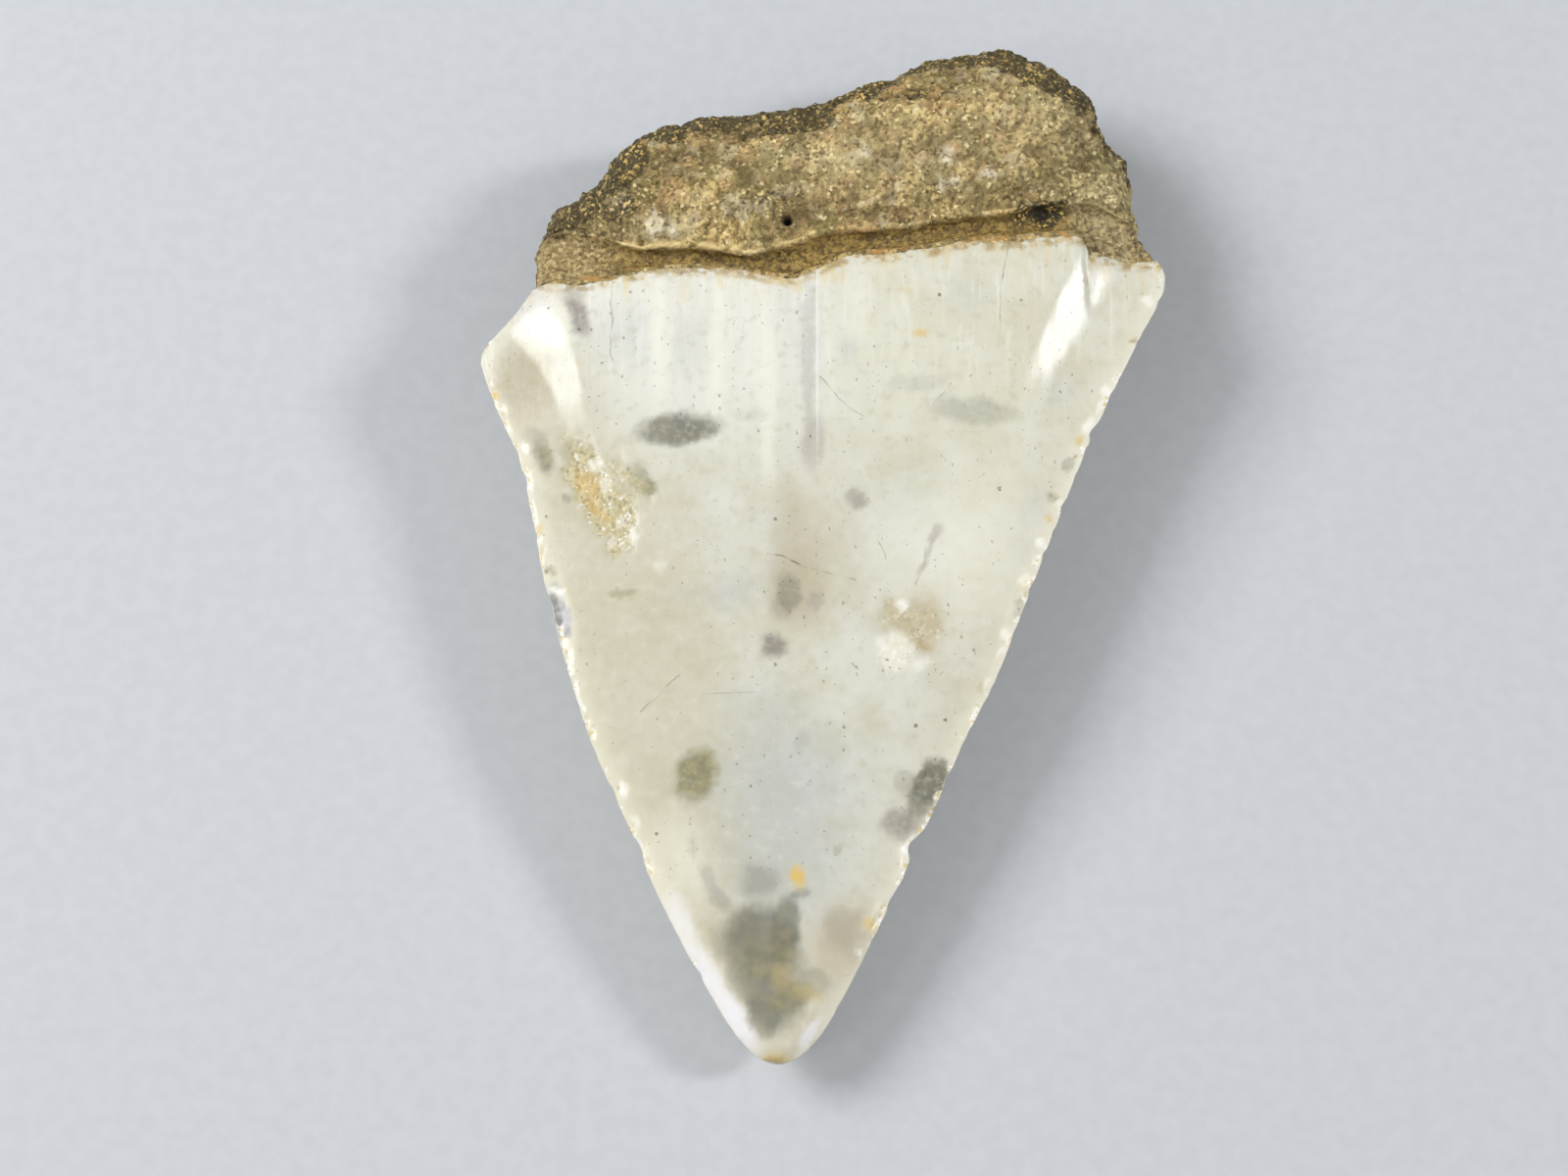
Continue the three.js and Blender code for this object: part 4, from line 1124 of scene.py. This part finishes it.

# The bare band is darker and fibrous, paler at its ends, and stained along the enamel. Beyond it the
# rim's lip is paler in broken stretches.
band = place.stored("bare_band")
fibre = place.scaled(0.45, 1, 1).noise(0.3, 4.0) * 0.6 + grain_tone * 0.4
fibre = fibre.between(0.25, 0.75)
band_colour = fibre.blend(tone(94, 74, 34), tone(172, 142, 74))
right_band = sand.blend(tone(128, 114, 78), tone(216, 200, 158))
band_colour = (x.between(10.8, 12.6) * 0.55).blend(band_colour, right_band)
left_band = fibre.blend(tone(136, 116, 72), tone(214, 190, 140))
band_colour = ((1 - x.between(-11.5, -8.5)) * 0.7).blend(band_colour, left_band)
band_colour = (grain_dark.between(0.6, 0.9) * 0.4).blend(band_colour, tone(70, 60, 36))
colour = (band * 0.92).blend(colour, band_colour)
stain = place.scaled(0.4, 1, 1).noise(0.6, 4.0)
rusty = place.stored("by_enamel") * stain.between(0.54, 0.64)
colour = (rusty * 0.75).blend(colour, tone(184, 136, 70))
black = place.stored("by_enamel") * (1 - stain.between(0.36, 0.46))
colour = (black * 0.8).blend(colour, tone(52, 44, 28))
broken = place.noise(0.8, 3.0).between(0.42, 0.56)
lip = place.stored("lip") * broken * (1 - x.between(-4.0, 2.0) * 0.7)
colour = (lip * 0.8).blend(colour, tone(236, 208, 146))

# Soot with gilt grains lies in the dark areas, the gilt grains being painted glints. Painted shade
# darkens the hollows, and the hole and pit are painted almost black, as the shade inside them.
shade = place.stored("dark")
shade = (shade + (clump_tone - 0.5) * 1.6).between(0.2, 0.6) * shade.between(0.02, 0.3)
dust = place.noise(0.16, 3.0)
# Painted glints: gold grains in the dark areas, as light shining off crystals.
painted_gold_glints = strongest(grain_glint.between(0.84, 0.92), dust.between(0.56, 0.68) * 0.75)
sooty = dust.between(0.4, 0.6).blend(tone(34, 32, 18), tone(82, 72, 40))
sooty = painted_gold_glints.blend(sooty, tone(212, 178, 98))
colour = (shade * 0.9).blend(colour, sooty)
colour = (place.stored("painted_hollow_shade").between(0.55, 1.2) * 0.55).blend(colour, tone(86, 70, 36))
colour = place.stored("pit").between(0.2, 0.8).blend(colour, tone(22, 20, 12))
glint = grain_glint.between(0.86, 0.93)
beads = place.cells(0.26, output="Distance")
height = place.noise(0.12, 3.0) * 0.8 + clump_tone * 1.4 - beads
give(shader, {
    "Base Color": colour,
    "Roughness": 0.75 - glint * 0.5,
    "IOR": 1.5,
    "Normal": height.node("ShaderNodeBump", {"Height": height, "Distance": 0.07 * MM}),
})
root.data.materials.append(phosphate)
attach(root, "root")
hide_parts("tooth")

# ---- Floor, light and camera ------------------------------------------------------------------
# A plain matt sheet of card under the tooth, soft lamps around it in a dim room, and a camera that
# looks down at it from the tip's side.

FLOOR_REACH = 2000 * MM
corners = [(across * FLOOR_REACH, along_y * FLOOR_REACH, 0)
           for across, along_y in ((-1, -1), (1, -1), (1, 1), (-1, 1))]
floor_mesh = bpy.data.meshes.new("floor")
floor_mesh.from_pydata(corners, [], [(0, 1, 2, 3)])
floor = bpy.data.objects.new("floor", floor_mesh)
bpy.context.scene.collection.objects.link(floor)
paper, shader, place = new_finish("matt_paper")
fibres = place.noise(0.8, 3.0)
give(shader, {
    "Base Color": fibres.between(0.3, 0.7).blend(tone(196, 198, 201), tone(200, 202, 205)),
    "Roughness": 0.9,
    "Specular IOR Level": 0.2,
})
floor.data.materials.append(paper)


def soft_lamp(name, direction, distance, size, power, colour):
    """A soft lamp in metres and watts, that faces the tooth from a direction and a distance."""
    light = bpy.data.lights.new(name, "AREA")
    light.shape = "RECTANGLE"
    light.size, light.size_y = size
    light.energy = power
    light.color = colour
    lamp = bpy.data.objects.new(name, light)
    lamp.location = Vector(direction).normalized() * distance
    lamp.rotation_euler = (-lamp.location).to_track_quat("-Z", "Y").to_euler()
    bpy.context.scene.collection.objects.link(lamp)


# The left and right lamps shine off the body's two slopes. The wide tip lamp lights the face, and
# the small ones at the tip shine off its two bevels. The ceiling lamp adds a faint glint.
soft_lamp("left_lamp", (-0.68, 0.2, 0.71), 0.34, (0.17, 0.15), 0.84, (0.98, 0.99, 1.0))
soft_lamp("right_lamp", (0.75, -0.04, 0.66), 0.36, (0.045, 0.07), 0.47, (0.99, 0.99, 1.0))
soft_lamp("tip_lamp", (0.0, -0.5, 0.87), 0.5, (1.05, 0.3), 0.42, (1.0, 1.0, 1.0))
soft_lamp("tip_left_lamp", (-0.55, -0.44, 0.71), 0.45, (0.07, 0.09), 0.13, (0.98, 0.98, 1.0))
soft_lamp("tip_right_lamp", (0.68, -0.5, 0.53), 0.45, (0.06, 0.06), 0.05, (0.98, 0.98, 1.0))
soft_lamp("ceiling_lamp", (-0.17, 0.15, 0.97), 0.6, (0.05, 0.12), 0.01, (1.0, 1.0, 1.0))

ROOM_LIGHT = 0.265
world = bpy.data.worlds.new("soft_room")
world.use_nodes = True
background = world.node_tree.nodes["Background"].inputs
background["Color"].default_value = (0.9, 0.95, 1.0, 1.0)
background["Strength"].default_value = ROOM_LIGHT
bpy.context.scene.world = world

# The camera aims at the middle of the face, from the tilt at which the whole tooth shows.
AIM = Vector((-1.93, -2.9, 4.5)) * MM
CAMERA_DISTANCE = 141.41 * MM
TILT = math.radians(70)
lens = bpy.data.cameras.new("camera")
lens.lens = 70
lens.sensor_width = 36
lens.clip_start = 0.005
camera = bpy.data.objects.new("camera", lens)
camera.location = AIM + CAMERA_DISTANCE * Vector((0, -math.cos(TILT), math.sin(TILT)))
camera.rotation_euler = (AIM - camera.location).to_track_quat("-Z", "Y").to_euler()
bpy.context.scene.collection.objects.link(camera)
bpy.context.scene.camera = camera
bpy.context.scene.view_settings.view_transform = "Standard"
